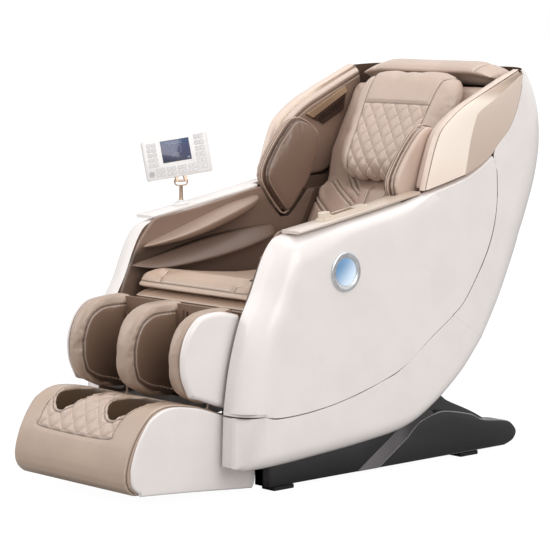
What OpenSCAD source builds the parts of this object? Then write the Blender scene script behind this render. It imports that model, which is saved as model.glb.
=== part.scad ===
// Reclining massage chair: a tilting cabin on a sled base, with a calf and foot unit,
// shoulder and arm air pads, a roller carriage behind the backrest and a remote on a post.
// Frame: +Z up, floor at z = 0, the chair faces -Y, the sitter's left is +X.
// Side views are drawn in [y, z].

/* [Cabin] */
// Overall width across the side panels
body_w = 730; // [710:2:760]
// Width of one arm, from its outer face to its inner face
arm_w = 96.7; // [90:0.1:104]
// Wall of the moulded rear shell
shell_t = 6; // [4:1:9]
// Radius of the rear shell's corners at the shoulders
shell_r = 120; // [95:5:140]
// Radius of the rear shell's lower edge
skirt_r = 44; // [30:1:56]
// Rounding of the side panel's outer edge at the front
panel_r = 72; // [50:1:85]
// Thickness of the arm cap
cap_t = 9; // [7:1:12]
// Width of the arm cap
cap_w = 70; // [60:1:76]
// Thickness of the upholstered arm liner
liner_t = 10; // [7:0.5:12]
// Thickness of the wing's outer moulding
wing_t = 35; // [28:1:40]
// Thickness of the wing's padded liner
wing_pad_t = 30; // [22:1:34]
// Clearance between fixed pieces that meet
seat_gap = 0.3; // [0.2:0.1:0.6]
// Width of the seams between the outer mouldings
seam_gap = 2; // [1.6:0.2:3]
// Clearance between cushions that lie on each other
soft_gap = 0.8; // [0.6:0.1:1.2]

/* [Seat and back] */
// Half width left free beside the seat cushion
seat_side_gap = 13; // [8:1:20]
// Thickness of the seat cushion at its front
seat_t = 118; // [100:1:120]
// Height of the seat board's top face
board_h = 452; // [446:1:456]
// Thickness of the seat board
board_t = 12; // [9:1:14]
// Lean of the backrest from upright
back_lean = 28; // [24:1:31]
// Thickness of the back cushion
back_t = 44; // [34:1:48]
// Length of the back cushion along its slope
back_len = 640; // [600:5:650]
// Width of the head pillow
pillow_w = 400; // [360:5:420]
// Thickness of the head pillow at its middle
pillow_t = 52; // [40:1:60]
// Length of the head pillow along the backrest
pillow_len = 370; // [330:2:376]
// Depth of the sewn channels in the cushions
channel_d = 5; // [2:0.5:8]

/* [Roller carriage] */
// Outer width across the two track rails
track_w = 430; // [410:2:436]
// Wall of the track rails
track_wall = 4; // [3:0.5:5]
// Diameter of the kneading rollers
roller_d = 64; // [54:1:68]
// Width of the kneading rollers
roller_w = 30; // [24:1:36]
// Distance between the middles of the two roller arms
roller_track = 140; // [120:2:170]
// Distance from the kneading shaft to each roller's axle
roller_reach = 100; // [92:1:112]
// Diameter of the kneading shaft
knead_d = 16; // [12:1:20]
// Diameter of the rollers' axles
axle_d = 8; // [6:1:10]
// Running clearance on a radius, for shafts and rollers
run_gap = 0.4; // [0.3:0.1:0.8]

/* [Base] */
// Thickness of the base's side plates
base_t = 60; // [50:1:64]
// Diameter of the tilt pivot pins
tilt_pin_d = 24; // [18:1:28]
// Diameter of the tilt actuator's housing
motor_d = 56; // [44:1:60]
// Diameter of the tilt actuator's rod
rod_d = 20; // [16:1:26]
// Height of the rubber feet
foot_h = 12; // [8:1:14]

/* [Leg unit] */
// Overall width of the calf and foot unit
leg_w = 510; // [490:2:514]
// Thickness of the calf unit's side shells
calf_shell_t = 15; // [10:1:18]
// Thickness of the foot unit's side cheeks
cheek_t = 6; // [5:1:9]
// Width of the calf unit's middle pad
mid_pad_w = 70; // [60:1:80]
// Width of each calf channel
calf_gap_w = 155; // [140:1:160]
// Diameter of the leg hinge pins
leg_pin_d = 16; // [12:1:20]
// Length of each foot well
well_len = 170; // [150:2:184]
// Width of each foot well
well_w = 128; // [110:2:140]
// Diameter of the sole rollers
sole_roller_d = 46; // [36:1:52]
// Diameter of the foot unit's guide rods
guide_d = 12; // [9:1:14]

/* [Controls] */
// Diameter of the arm dial
dial_d = 33; // [26:1:38]
// Height of the arm dial
dial_h = 18; // [12:1:22]
// Length of the control bar on the arm
bar_len = 150; // [130:1:160]
// Width of the control bar
bar_w = 36; // [30:1:42]
// Diameter of the round side lamp
lamp_d = 110; // [90:1:130]
// Width of the remote's case
remote_w = 205; // [170:1:225]
// Height of the remote's case
remote_h = 118; // [100:1:130]
// Thickness of the remote's case
remote_t = 14; // [10:1:18]
// Diameter of the remote's post
post_d = 15; // [12:1:20]
// Travel of the push keys
key_travel = 1.5; // [1:0.1:2]

/* [Hidden] */
$fn = 64;

body_x = body_w / 2;
arm_x = body_x - arm_w;
cabin_x = arm_x - liner_t;
wing_x = body_x - wing_t;
wing_in = wing_x - seat_gap - wing_pad_t;
seat_x = cabin_x - seat_side_gap;
leg_x = leg_w / 2;

// Pivots of the tilting cabin and of the leg unit
tilt_pivot = [44, 250];
leg_pivot = [-391, 470];
// Place where the seat meets the backrest
hip = [270, 530];

// ---- Curves and lofts ----

function lerp(a, b, t) = a + (b - a) * t;
function rev(p) = [for (i = [len(p) - 1:-1:0]) p[i]];
function catmull(a, b, c, d, t) =
  0.5 * ((2 * b) + (c - a) * t + (2 * a - 5 * b + 4 * c - d) * t * t
         + (3 * b - a - 3 * c + d) * t * t * t);

// A smooth run through the points p, with n steps between neighbours
function curve(p, n = 6) =
  let (last = len(p) - 1)
  concat([for (i = [0:last - 1], k = [0:n - 1])
            catmull(p[max(i - 1, 0)], p[i], p[i + 1], p[min(i + 2, last)], k / n)],
         [p[last]]);

function run_lengths(p) =
  [for (i = 0, s = 0; i < len(p);
        s = s + (i + 1 < len(p) ? norm(p[i + 1] - p[i]) : 0), i = i + 1) s];
function at_length(p, lengths, s) =
  let (i = max([for (k = [0:len(p) - 2]) if (lengths[k] <= s + 1e-6) k]))
  lerp(p[i], p[i + 1], min(1, (s - lengths[i]) / (lengths[i + 1] - lengths[i])));

// m + 1 evenly spaced points along the run through p, smooth or straight between them
function even(p, m, smooth = true) =
  let (q = smooth ? curve(p) : p, lengths = run_lengths(q), total = lengths[len(lengths) - 1])
  [for (k = [0:m]) at_length(q, lengths, total * k / m)];
// A closed loop of m points through p
function loop(p, m) =
  let (n = len(p), q = curve(concat([p[n - 1]], p, [p[0], p[1]])), ring = [for (i = [6:len(q) - 7]) q[i]],
       lengths = run_lengths(ring), total = lengths[len(lengths) - 1])
  [for (k = [0:m - 1]) at_length(ring, lengths, total * k / m)];
// Height of a run of [y, z] points at y
function height_at(p, y) =
  let (i = max([for (k = [0:len(p) - 2]) if (p[k][0] <= y || k == 0) k]))
  lerp(p[i][1], p[i + 1][1], (y - p[i][0]) / (p[i + 1][0] - p[i][0]));

function total(list, zero) =
  [for (i = 0, s = zero; i <= len(list); s = s + (i < len(list) ? list[i] : zero), i = i + 1) s]
  [len(list)];
function middle(ring) = total(ring, ring[0] * 0) / len(ring);
function area2(p) =
  let (n = len(p))
  total([for (i = [0:n - 1]) p[i][0] * p[(i + 1) % n][1] - p[(i + 1) % n][0] * p[i][1]], 0);
function left_of(a, b) = let (t = (b - a) / norm(b - a)) [-t[1], t[0]];

// Each point of a closed outline moved inwards by d times its weight
function inset(p, d, w = 1) =
  let (n = len(p), side = area2(p) > 0 ? 1 : -1)
  [for (i = [0:n - 1])
     let (before = left_of(p[(i + n - 1) % n], p[i]),
          after = left_of(p[i], p[(i + 1) % n]),
          bend = max(0.35, 1 + before * after),
          weight = is_list(w) ? w[i] : w)
     p[i] + (before + after) * side * d * weight / bend];

// Closed skin over rings of equal count. A ladder end joins the two halves of a ring,
// any other end is a fan about its middle.
module skin(rings, ladder = false) {
  n = len(rings[0]);
  last = len(rings) - 1;
  points = concat([for (ring = rings) each ring],
                  ladder ? [] : [middle(rings[0]), middle(rings[last])]);
  walls = [for (j = [0:last - 1], i = [0:n - 1])
             let (a = j * n + i, b = j * n + (i + 1) % n)
             each [[a, b, b + n], [a, b + n, a + n]]];
  top = last * n;
  middle_at = top + n;
  ends = ladder
    ? [for (i = [0:n / 2 - 2])
         let (a = i, b = i + 1, c = n - 2 - i, d = n - 1 - i)
         each [[a, c, b], [a, d, c], [top + a, top + b, top + c], [top + a, top + c, top + d]]]
    : [for (i = [0:n - 1])
         let (next = (i + 1) % n)
         each [[middle_at, next, i], [middle_at + 1, top + i, top + next]]];
  faces = concat(walls, ends);
  volume = total([for (f = faces) cross(points[f[0]], points[f[1]]) * points[f[2]]], 0);
  polyhedron(points, volume < 0 ? faces : [for (f = faces) rev(f)], convexity = 8);
}

// Quarter-round edges for a slab from x0 to x1, as [x, inset]
function round_in(x, r, n = 4) =
  [for (k = [0:n]) let (a = 90 * k / n) [x + r * (1 - cos(a)), r * (1 - sin(a))]];
function round_out(x, r, n = 4) = rev([for (s = round_in(0, r, n)) [x - s[0], s[1]]]);
function rounded(x0, x1, r, n = 4) = concat(round_in(x0, r, n), round_out(x1, r, n));

// Slab across X between a lower and an upper run of equal count, drawn in [y, z].
// pull rounds the front end as well: each inset also draws the lower run back from y = front.
pull_len = 260;
module slab(lower, upper, steps, weights = 1, trim = 0, pull = 0, front = 0) {
  outline = inset(concat(lower, rev(upper)), trim);
  both = pull > 1 ? len(outline) : len(lower);
  skin([for (s = steps)
    let (ring = inset(outline, s[1], weights))
    [for (i = [0:len(ring) - 1])
       let (near = i < both ? max(0, 1 - (outline[i][0] - front) / pull_len) : 0)
       [s[0], ring[i][0] + min(pull, 1.65) * s[1] * pow(near, 2), ring[i][1]]]], ladder = true);
}

// Cushion with a crown: rings drawn in towards the middle of a star-shaped outline.
// The outline lies in XY, the crown rises by h and the underside drops by base.
module crowned(outline, h, base, rings = 5, under = 2, full = 0.5) {
  mid = middle(outline);
  top = [for (k = [0:rings]) let (a = 84 * k / rings) [pow(cos(a), full), h * sin(a)]];
  low = [for (k = [under:-1:1]) let (a = 74 * k / under) [pow(cos(a), 0.3), -base * sin(a)]];
  skin([for (s = concat(low, top))
          [for (p = outline) [lerp(mid[0], p[0], s[0]), lerp(mid[1], p[1], s[0]), s[1]]]]);
}

// Both sides of the chair: the sitter's left is +X
module sided(side) {
  mirror([side < 0 ? 1 : 0, 0, 0]) children();
}

// Places children in the backrest's frame: x across, y behind its face, z up its slope
module on_back() {
  translate([0, hip[0], hip[1]]) rotate([-back_lean, 0, 0]) children();
}
function back_to_side(y, z) =
  [hip[0] + y * cos(back_lean) + z * sin(back_lean), hip[1] - y * sin(back_lean) + z * cos(back_lean)];

// A plate drawn in [y, z] and extruded across X from x0 to x1
module side_plate(x0, x1) {
  translate([x0, 0, 0]) rotate([90, 0, 90]) linear_extrude(x1 - x0) children();
}

module cross_rod(d, x0, x1, at = [0, 0]) {
  translate([x0, at[0], at[1]]) rotate([0, 90, 0]) cylinder(d = d, h = x1 - x0);
}

// ---- Base ----

base_x1 = 295;
base_x0 = base_x1 - base_t;
tower_t = 15;
lug_t = 15;
lug_x1 = base_x0 - 5;
lug_x0 = lug_x1 - lug_t;
pin_gap = 0.3;
tube_d = 30;
tube_wall = 2.5;
tube_seat = 20;
motor_foot = [230, 60];
tube_places = [[-250, 40], motor_foot, [500, 40]];

base_front = [[-306, foot_h], [-306, 69], [49, 98], [198, 122], [24, foot_h]];
base_rear = [[136, foot_h], [240, 89], [287, 128], [338, 143], [389, 146], [493, 125],
             [546, 103], [644, 89], [676, 73], [692, 49], [677, 26], [641, foot_h]];
base_ridge = [[250, 88], [330, 168], [391, 188], [429, 168], [511, 134], [558, 112], [600, 88]];
base_web = [[-306, foot_h], [-306, 60], [641, 60], [641, foot_h]];
base_stripe = [[25, foot_h], [199, 122.5], [211, 124], [239, 88.5], [135, foot_h]];
tower = [[-10, 60], [20, 268], [34, 280], [54, 280], [68, 268], [100, 60]];
web_t = 34;
ridge_t = 27;
trim_proud = 2;

module base_side(side) {
  color("#2b2b2d") sided(side) difference() {
    union() {
      side_plate(base_x0, base_x1) polygon(base_front);
      side_plate(base_x0, base_x1) polygon(base_rear);
      side_plate(base_x0, base_x0 + ridge_t) polygon(base_ridge);
      side_plate(base_x0, base_x0 + web_t) polygon(base_web);
      side_plate(base_x0, base_x0 + tower_t) polygon(tower);
      cross_rod(tilt_pin_d, lug_x0 - 4, base_x0 + 1, tilt_pivot);
    }
    for (at = tube_places) cross_rod(tube_d + pin_gap * 2, base_x0 - 1, base_x0 + tube_seat, at);
  }
}
module base_side_left() base_side(1);
module base_side_right() base_side(-1);

module base_trims() {
  color("#c9c7c4") for (side = [-1, 1]) sided(side)
    side_plate(base_x0 + web_t + seat_gap, base_x1 + trim_proud) polygon(inset(base_stripe, seat_gap));
}

tube_end = base_x0 + tube_seat - seat_gap;
module cross_tubes() {
  color("#3a3a3c") for (at = tube_places) difference() {
    cross_rod(tube_d, -tube_end, tube_end, at);
    cross_rod(tube_d - 2 * tube_wall, -tube_end - 1, tube_end + 1, at);
  }
}

foot_len = 74;
foot_w = 52;
module feet() {
  color("#1c1c1e") for (side = [-1, 1], y = [-248, 493]) sided(side)
    translate([base_x0 + 4, y - foot_len / 2, 0]) cube([foot_w, foot_len, foot_h]);
}

// ---- Power box at the rear of the base ----

power_w = 120;
power_y0 = tube_places[2][0] + tube_d / 2 + seat_gap;
power_len = 80;
power_z0 = 20;
power_h = 70;
inlet_w = 28;
inlet_h = 20;
switch_w = 16;
switch_h = 24;
switch_x = 30;
power_z = power_z0 + power_h / 2;
power_y1 = power_y0 + power_len;

module power_box() {
  color("#303032") difference() {
    translate([-power_w / 2, power_y0, power_z0]) cube([power_w, power_len, power_h]);
    translate([-switch_x - inlet_w / 2, power_y1 - 18, power_z - inlet_h / 2])
      cube([inlet_w, 19, inlet_h]);
    translate([switch_x - switch_w / 2 - run_gap, power_y1 - 10, power_z - switch_h / 2 - 1])
      cube([switch_w + 2 * run_gap, 11, switch_h + 2]);
  }
  color("#8c8c8c") for (x = [-7, 0, 7])
    translate([-switch_x + x - 1, power_y1 - 18.5, power_z - 2.5]) cube([2, 14, 5]);
}

// Rocker on a middle axle, its two ends proud in turn
module power_switch() {
  color("#1a1a1c") translate([switch_x, power_y1 - 4, power_z])
    side_plate(-switch_w / 2, switch_w / 2)
      polygon([[-3, -4], [-3, 4], [1, switch_h / 2 - 0.6], [5, switch_h / 2 - 0.6], [3, 0],
               [5, -switch_h / 2 + 0.6], [1, -switch_h / 2 + 0.6]]);
}

// ---- Tilt actuator ----

rod_eye = [254, 330];
motor_len = norm(rod_eye - motor_foot);
motor_lean = atan2(rod_eye[0] - motor_foot[0], rod_eye[1] - motor_foot[1]);
motor_top = 172;
motor_bore = 60;
eye_t = 24;
open_pivot_gap = 2.2;
actuator_pin_d = 12;

module on_motor() {
  translate([0, motor_foot[0], motor_foot[1]]) rotate([-motor_lean, 0, 0]) children();
}

module tilt_motor() {
  color("#4a4a4e") on_motor() difference() {
    union() {
      cross_rod(tube_d + 16, -eye_t / 2, eye_t / 2);
      translate([0, 0, 22]) cylinder(d = motor_d, h = motor_top - 22);
      translate([motor_d / 2 - 8, -motor_d / 2, 30]) cube([50, motor_d, 60]);
    }
    cross_rod(tube_d + 2 * run_gap, -eye_t, eye_t);
    translate([0, 0, motor_bore]) cylinder(d = rod_d + 2 * run_gap, h = motor_top);
  }
}

module tilt_rod() {
  color("#c4c6c9") on_motor() difference() {
    union() {
      translate([0, 0, motor_top - 22]) cylinder(d = rod_d, h = motor_len - motor_top + 12);
      translate([0, 0, motor_len]) cross_rod(actuator_pin_d + 18, -eye_t / 2, eye_t / 2);
    }
    translate([0, 0, motor_len])
      cross_rod(actuator_pin_d + 2 * open_pivot_gap, -eye_t, eye_t);
  }
}

// ---- Cabin frame ----

rail_h = 40;
board_z0 = board_h - board_t;
rail_z0 = board_z0 - rail_h;
frame_tube_d = 24;
track_x1 = track_w / 2;
track_y0 = back_t + seat_gap;
track_depth = 72;
track_z0 = -30;
track_z1 = back_len - 30;
track_lip = 26;
brace_h = 24;
frame_tubes = [[-200, rail_z0 + 20], [230, rail_z0 + 20]];
frame_end = arm_x;
gusset = [[200, rail_z0], [318, rail_z0], [428, 585], [384, 592], [306, board_z0]];
rail = [[-360, rail_z0], [-404, 463], [-400, 481], [-384, 484], [-352, board_z0],
        [310, board_z0], [310, rail_z0]];

module track_rail() {
  difference() {
    translate([track_x1 - track_lip - track_wall, track_y0, track_z0])
      cube([track_lip + track_wall, track_depth, track_z1 - track_z0]);
    translate([track_x1 - track_lip - track_wall - 1, track_y0 + track_wall, track_z0 - 1])
      cube([track_lip + 1, track_depth - 2 * track_wall, track_z1 - track_z0 + 2]);
  }
}

module cabin_frame() {
  color("#55565a") {
    for (side = [-1, 1]) sided(side) {
      difference() {
        side_plate(lug_x0, lug_x1) union() {
          polygon(rail);
          polygon(gusset);
          polygon([[-20, rail_z0 + 1], [24, 244], [64, 244], [110, rail_z0 + 1]]);
          translate(tilt_pivot) circle(d = tilt_pin_d + 26);
          translate(leg_pivot) circle(d = leg_pin_d + 14);
        }
        cross_rod(tilt_pin_d + 2 * run_gap, lug_x0 - 1, lug_x1 + 1, tilt_pivot);
        cross_rod(leg_pin_d + 2 * run_gap, lug_x0 - 1, lug_x1 + 1, leg_pivot);
      }
      on_back() track_rail();
    }
    for (at = frame_tubes) cross_rod(frame_tube_d, -frame_end, frame_end, at);
    on_back() for (z = [track_z0 + 8, track_z1 - brace_h])
      translate([-track_x1 + 2, track_y0 + track_depth - 12, z])
        cube([track_w - 4, 12, brace_h]);
    for (side = [-1, 1]) sided(side)
      side_plate(eye_t / 2 + 2, eye_t / 2 + 8)
        polygon([rod_eye + [-36, rail_z0 + 16 - rod_eye[1]], rod_eye + [-10, rail_z0 + 16 - rod_eye[1]],
                 rod_eye + [12, -4], rod_eye + [2, -14], rod_eye + [-12, -4]]);
    cross_rod(actuator_pin_d, -eye_t / 2 - 8, eye_t / 2 + 8, rod_eye);
  }
}

seat_y0 = -338;
board_len = 600;
module seat_board() {
  half = cabin_x - seat_gap;
  color("#b08d62") translate([-half, seat_y0, board_z0]) cube([2 * half, board_len, board_t]);
}

// Geared motor hung under the seat board, its hollow shaft round the leg unit's cross shaft
shaft_house_d = 35;
house_half = 45;
motor_y1 = -240;
motor_t = 40;
gearbox_d = 60;
gearbox_x1 = 130;
gearbox_at = [-275, board_z0 - 34];
module leg_motor() {
  color("#4a4a4e") difference() {
    union() {
      cross_rod(shaft_house_d, -house_half, house_half, leg_pivot);
      side_plate(-house_half, house_half) polygon([leg_pivot + [-11, -13], leg_pivot + [9, 14],
        [seat_y0 - 8, board_z0 - 6], [seat_y0 + 4, board_z0 - seat_gap],
        [motor_y1, board_z0 - seat_gap], [motor_y1, board_z0 - motor_t],
        [seat_y0 - 2, board_z0 - motor_t]]);
      cross_rod(gearbox_d, house_half - 5, gearbox_x1, gearbox_at);
    }
    cross_rod(leg_pin_d + 2 * run_gap, -house_half - 5, house_half + 5, leg_pivot);
  }
}

// ---- Side views of the cabin ----

runs = 26;
liner_runs = 18;
// Seam between side panel and rear shell, from the front foot up to the wing
seam = [[-452, 226], [-361, 216], [-211, 221], [-56, 246], [129, 301], [255, 382],
        [343, 437], [394, 479], [469, 586], [498, 628], [522, 743], [521, 837], [514, 872]];
// Front edge of the side panel, up to the arm
panel_front = [[-453, 236], [-432, 360], [-396, 475], [-355, 551], [-318, 634],
               [-285, 684], [-246, 704]];
arm_line = [[-250, 714], [-130, 732.3], [50, 763], [231, 797]];
// Lower edge of the wing, from the arm up to its tip
wing_low = [[231, 797], [382, 833], [452, 863], [507, 898], [574, 964], [612, 1039],
            [632, 1128]];
wing_front = [[229, 803], [244, 853], [270, 926], [299, 974], [371, 1026], [454, 1065],
              [554, 1108], [618, 1134]];
liner_front = [[240, 804], [255, 853], [281, 924], [308, 969], [376, 1018], [457, 1056],
               [556, 1099], [612, 1122]];
liner_rear = [[252, 799], [470, 804], [530, 868], [575, 938], [604, 1000], [620, 1050],
              [626, 1085], [620, 1114]];
// Middle line of the shell's back, from above the base up to the crown
back_line = [[484, 352], [565, 450], [640, 560], [683, 632], [727, 731], [757, 818],
             [773, 911], [766, 1009], [740, 1083], [704, 1136]];
// Rim of the shell that the side panels and wings meet
rim_line = [[343, 437], [394, 479], [470, 585], [501, 626], [522, 743], [521, 837],
            [507, 898], [574, 964], [612, 1039], [632, 1128]];
// Lower edge of the skirt, and the seam above it
skirt_low = [[-457, 88], [-440, 80], [-343, 79], [-191, 88], [6, 104], [169, 127], [280, 176],
             [396, 259], [482, 354], [519, 400]];
skirt_top = [[-452, 225], [-361, 215], [-211, 220], [-56, 245], [60, 277], [129, 300],
             [255, 381], [343, 436], [390, 476]];

// Weight of the edge rounding at each point: nothing along the seam, full at the front
function panel_weights(n, arm_from) =
  concat([for (i = [0:n]) 0],
         rev([for (i = [0:n]) i == n ? 0.1 : i < arm_from ? 1 : 0.55]));

cap_rise = 1.5;
panel_trim = 1.2 * seam_gap;
cap_ease = 0.1;
cap_seat = cap_rise - cap_t - seat_gap - cap_ease + panel_trim;
panel_top = concat(panel_front, [for (p = arm_line) if (p[0] > -200) p + [0, cap_seat]],
                   [for (p = wing_low) if (p[0] > 300 && p[0] < 500) p - [0, 6]], [[503, 886]]);

// Space above the arm's inner part, where the shoulder pad and its bellows swing
pad_space = [[160, 960], [160, 800], [168, 772], [208, 720], [244, 684], [278, 684], [310, 712],
             [358, 762], [540, 762], [540, 960]];
// Space outboard of it for the wing's padded liner
liner_space = [[226, 960], [226, 795], [480, 798], [560, 880], [560, 960]];
module pad_recess() {
  side_plate(cabin_x - 2, wing_in + seat_gap) polygon(pad_space);
  side_plate(wing_in, wing_x + seat_gap) polygon(liner_space);
}

module side_panel(side) {
  color("#f0ecea") sided(side) difference() {
    slab(even(seam, runs), even(panel_top, runs),
         concat(round_in(arm_x + seat_gap, 6, 2), round_out(body_x, panel_r, 6)),
         panel_weights(runs, 13), panel_trim, 1, seam[0][0]);
    pad_recess();
  }
}
module side_panel_left() side_panel(1);
module side_panel_right() side_panel(-1);

shell_stations = 15;
skirt_x0 = 306;
// Ring of the rear shell between its back line and its rim
function shell_half(c, q, r, t) =
  let (depth = norm(q - c), v = (q - c) / depth)
  [for (s = concat([[body_x - t, depth - 1]],
                   [for (k = [0:5]) let (a = 18 * k)
                      [body_x - r + (r - t) * cos(a), r - (r - t) * sin(a)]],
                   [[(body_x - r) / 2, t]]))
     [s[0], c[0] + v[0] * s[1], c[1] + v[1] * s[1]]];
function other_side(p) = [for (q = p) [-q[0], q[1], q[2]]];
function shell_ring(c, q, r) =
  let (outer = shell_half(c, q, r, 0), inner = shell_half(c, q, r, shell_t))
  concat(outer, rev(other_side(outer)), other_side(inner), rev(inner));

// Inner filling of the skirt, ahead of the tilt pivot where the base passes below it
function first(p, n) = [for (i = [0:n]) p[i]];
fill_runs = 10;
fill_inset = 1.5;
// Space above the skirt, where the shell's first ring stands on it
cut_len = 500;
cut_h = 300;
cut_back = 200;
module above_skirt() {
  along = (rim_line[0] - back_line[0]) / norm(rim_line[0] - back_line[0]);
  up = -left_of(back_line[0], rim_line[0]);
  corner = back_line[0] - along * cut_back - up * seat_gap;
  side_plate(-body_w, body_w)
    polygon([corner, corner + along * cut_len, corner + along * cut_len + up * cut_h,
             corner + up * cut_h]);
}

module rear_shell() {
  backs = even(back_line, shell_stations);
  rims = even(rim_line, shell_stations);
  low = even(skirt_low, runs);
  top = even(skirt_top, runs);
  color("#f0ecea") skin([for (k = [0:shell_stations])
    shell_ring(backs[k], rims[k], lerp(skirt_r, shell_r, min(1, k / 6)))], ladder = true);
  color("#f0ecea") for (side = [-1, 1]) sided(side) {
    difference() {
      slab(low, top, concat([[skirt_x0, 0]], round_out(body_x, skirt_r, 5)),
           concat([for (i = [0:runs]) 1], [for (i = [0:runs]) i == 0 ? 1 : 0]), 0, 1.65,
           skirt_low[0][0]);
      above_skirt();
    }
    slab(first(low, fill_runs), first(top, fill_runs),
         [[arm_x + seat_gap, fill_inset], [skirt_x0 + 1, fill_inset]], 0);
  }
}

module wing(side) {
  front = even(wing_front, runs);
  low = even(wing_low, runs);
  color("#d8c4ae") sided(side)
    slab(low, front, concat([[wing_x, 0]], round_out(body_x, 9, 3)),
         concat([for (p = low) 0], [for (p = front) 1]), 1.4 * seam_gap);
}
module wing_left() wing(1);
module wing_right() wing(-1);

module wing_liner(side) {
  color("#8f7565") sided(side)
    slab(even(liner_rear, liner_runs), even(liner_front, liner_runs),
         rounded(wing_in, wing_x - seat_gap, 8, 2), 1);
}
module wing_liner_left() wing_liner(1);
module wing_liner_right() wing_liner(-1);

grille = [[410, 972], [551, 1047], [540, 994], [457, 953], [427, 966]];
bezel = [[384, 985], [546, 1066], [554, 1049], [410, 973]];
speaker_t = 7;
module speakers() {
  x1 = wing_in - seat_gap;
  for (side = [-1, 1]) sided(side) {
    color("#c9ad90") side_plate(x1 - speaker_t, x1) polygon(bezel);
    color("#3a2c22") side_plate(x1 - speaker_t + 2, x1) difference() {
      polygon(grille);
      for (k = [0:7])
        translate([438 + 13 * k, 968 + 6.5 * k]) rotate(62) square([30, 4], center = true);
    }
  }
}

cap_top = [for (p = [[-246, height_at(arm_line, -246)], [-130, 732.3], [50, 763],
                     [226, height_at(arm_line, 226)]]) p + [0, cap_rise]];
cap_x0 = arm_x + 7;
cap_runs = 9;
module arm_cap(side) {
  top = even(cap_top, cap_runs, false);
  low = [for (p = top) p - [0, cap_t]];
  color("#cdb39c") sided(side) difference() {
    slab(low, top, rounded(cap_x0, cap_x0 + cap_w, 4, 2), 1);
    pad_recess();
  }
}
module arm_cap_left() arm_cap(1);
module arm_cap_right() arm_cap(-1);

// Upholstered inner wall of the arm, with the lower air flap sewn to it
liner_top = [[-372, 504], [-343, 571], [-301, 649], [-262, 694], [-232, 712], [-110, 728],
             [21, 752], [160, 778], [300, 788], [390, 790]];
liner_low = [[-368, 490], [-340, 462], [-200, 458], [0, 458], [200, 458], [256, 516],
             [298, 594], [340, 674], [380, 748], [396, 782]];
upper_flap_root = [[-275, 640], [-142, 675], [21, 722], [132, 747]];
upper_flap_edge = [[-322, 634], [-149, 668], [-14, 704], [118, 748]];
lower_flap_root = [[-301, 588], [-196, 609], [-62, 633], [76, 641]];
lower_flap_edge = [[-350, 582], [-255, 571], [-96, 586], [69, 609], [120, 620]];
flap_reach = 58;
flap_t = 20;

// Leaf-shaped air flap between its root on the arm liner and its free edge
module leaf(root, edge, m = 14) {
  roots = even(root, m);
  edges = even(edge, m);
  skin([for (k = [0:m])
    let (swell = 0.25 + 0.75 * pow(sin(180 * (k + 0.6) / (m + 1.2)), 0.6),
         x0 = cabin_x - seat_gap, r = roots[k], e = edges[k])
    [for (s = [[0, 0.5], [0.45, 0.5], [0.8, 0.34], [0.98, 0.12], [0.98, -0.12], [0.8, -0.34],
               [0.45, -0.5], [0, -0.5]])
       let (mid = lerp(r, e, s[0]))
       [x0 - flap_reach * s[0] * swell, mid[0], mid[1] + flap_t * s[1] * swell]]]);
}

module arm_liner(side) {
  color("#8f7565") sided(side) {
    difference() {
      slab(even(liner_low, liner_runs), even(liner_top, liner_runs), rounded(cabin_x, arm_x, 3, 1), 1);
      pad_recess();
    }
    translate([seat_gap + 1, 0, 0]) leaf(lower_flap_root, lower_flap_edge);
  }
}
module arm_liner_left() arm_liner(1);
module arm_liner_right() arm_liner(-1);

module arm_flap(side) {
  color("#a88d7b") sided(side) leaf(upper_flap_root, upper_flap_edge);
}
module arm_flap_left() arm_flap(1);
module arm_flap_right() arm_flap(-1);
// ---- Seat, backrest and pillow ----

// Slab across X with a crown on its upper run and sewn channels round it at given places.
// Where it's thinner than its edges are round, the rounding shrinks with it.
module cushion_slab(lower, upper, half, edge, crown, channels) {
  n = len(upper) - 1;
  sewn = [for (x = channels) each [[x - 9, 0], [x, channel_d], [x + 9, 0]]];
  plain = rounded(-half, half, edge, 3);
  steps = concat([for (s = plain) if (s[0] < 0) s], sewn, [for (s = plain) if (s[0] > 0) s]);
  outline = concat(lower, rev(upper));
  share = [for (i = [0:n]) min(1, norm(upper[i] - lower[i]) / (2.8 * edge))];
  weights = concat(share, rev(share));
  skin([for (s = steps)
    let (lift = crown * (1 - pow(abs(s[0]) / half, 2)), ring = inset(outline, s[1], weights))
    [for (i = [0:len(ring) - 1])
       let (k = 2 * n + 1 - i, rise = i > n ? lift * sin(180 * k / n) : 0)
       [s[0], ring[i][0], ring[i][1] + rise]]], ladder = true);
}

cushion_runs = 14;
apron_t = 62;
apron_top = board_h + apron_t;
seat_top = board_h + seat_t;
seat_front_y = -334;

module seat_apron() {
  lower = [[-346, board_h + 45], [-338, board_h + 34], [-318, board_h + 22], [-290, board_h + 2],
           [-100, board_h + soft_gap], [100, board_h + soft_gap], [236, board_h + soft_gap]];
  upper = [[-346, board_h + 48], [-336, board_h + 57], [-312, apron_top - 1], [-270, apron_top],
           [-80, apron_top], [120, apron_top], [240, apron_top]];
  color("#a98e7c")
    cushion_slab(even(lower, cushion_runs), even(upper, cushion_runs), seat_x, 10, 0, []);
}

module seat_cushion() {
  low = apron_top + soft_gap;
  lower = [[seat_front_y, low + 8], [seat_front_y + 14, low], [-200, low], [0, low], [254, low + 1]];
  upper = [[seat_front_y - 2, low + 12], [seat_front_y + 4, seat_top - 16],
           [seat_front_y + 30, seat_top - 1], [-200, seat_top - 10], [0, seat_top - 16],
           [180, seat_top - 8], [264, seat_top - 12], [262, low + 12]];
  color("#b3988a")
    cushion_slab(even(lower, cushion_runs), even(upper, cushion_runs), seat_x, 16, 4, [-178, 178]);
}

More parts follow.
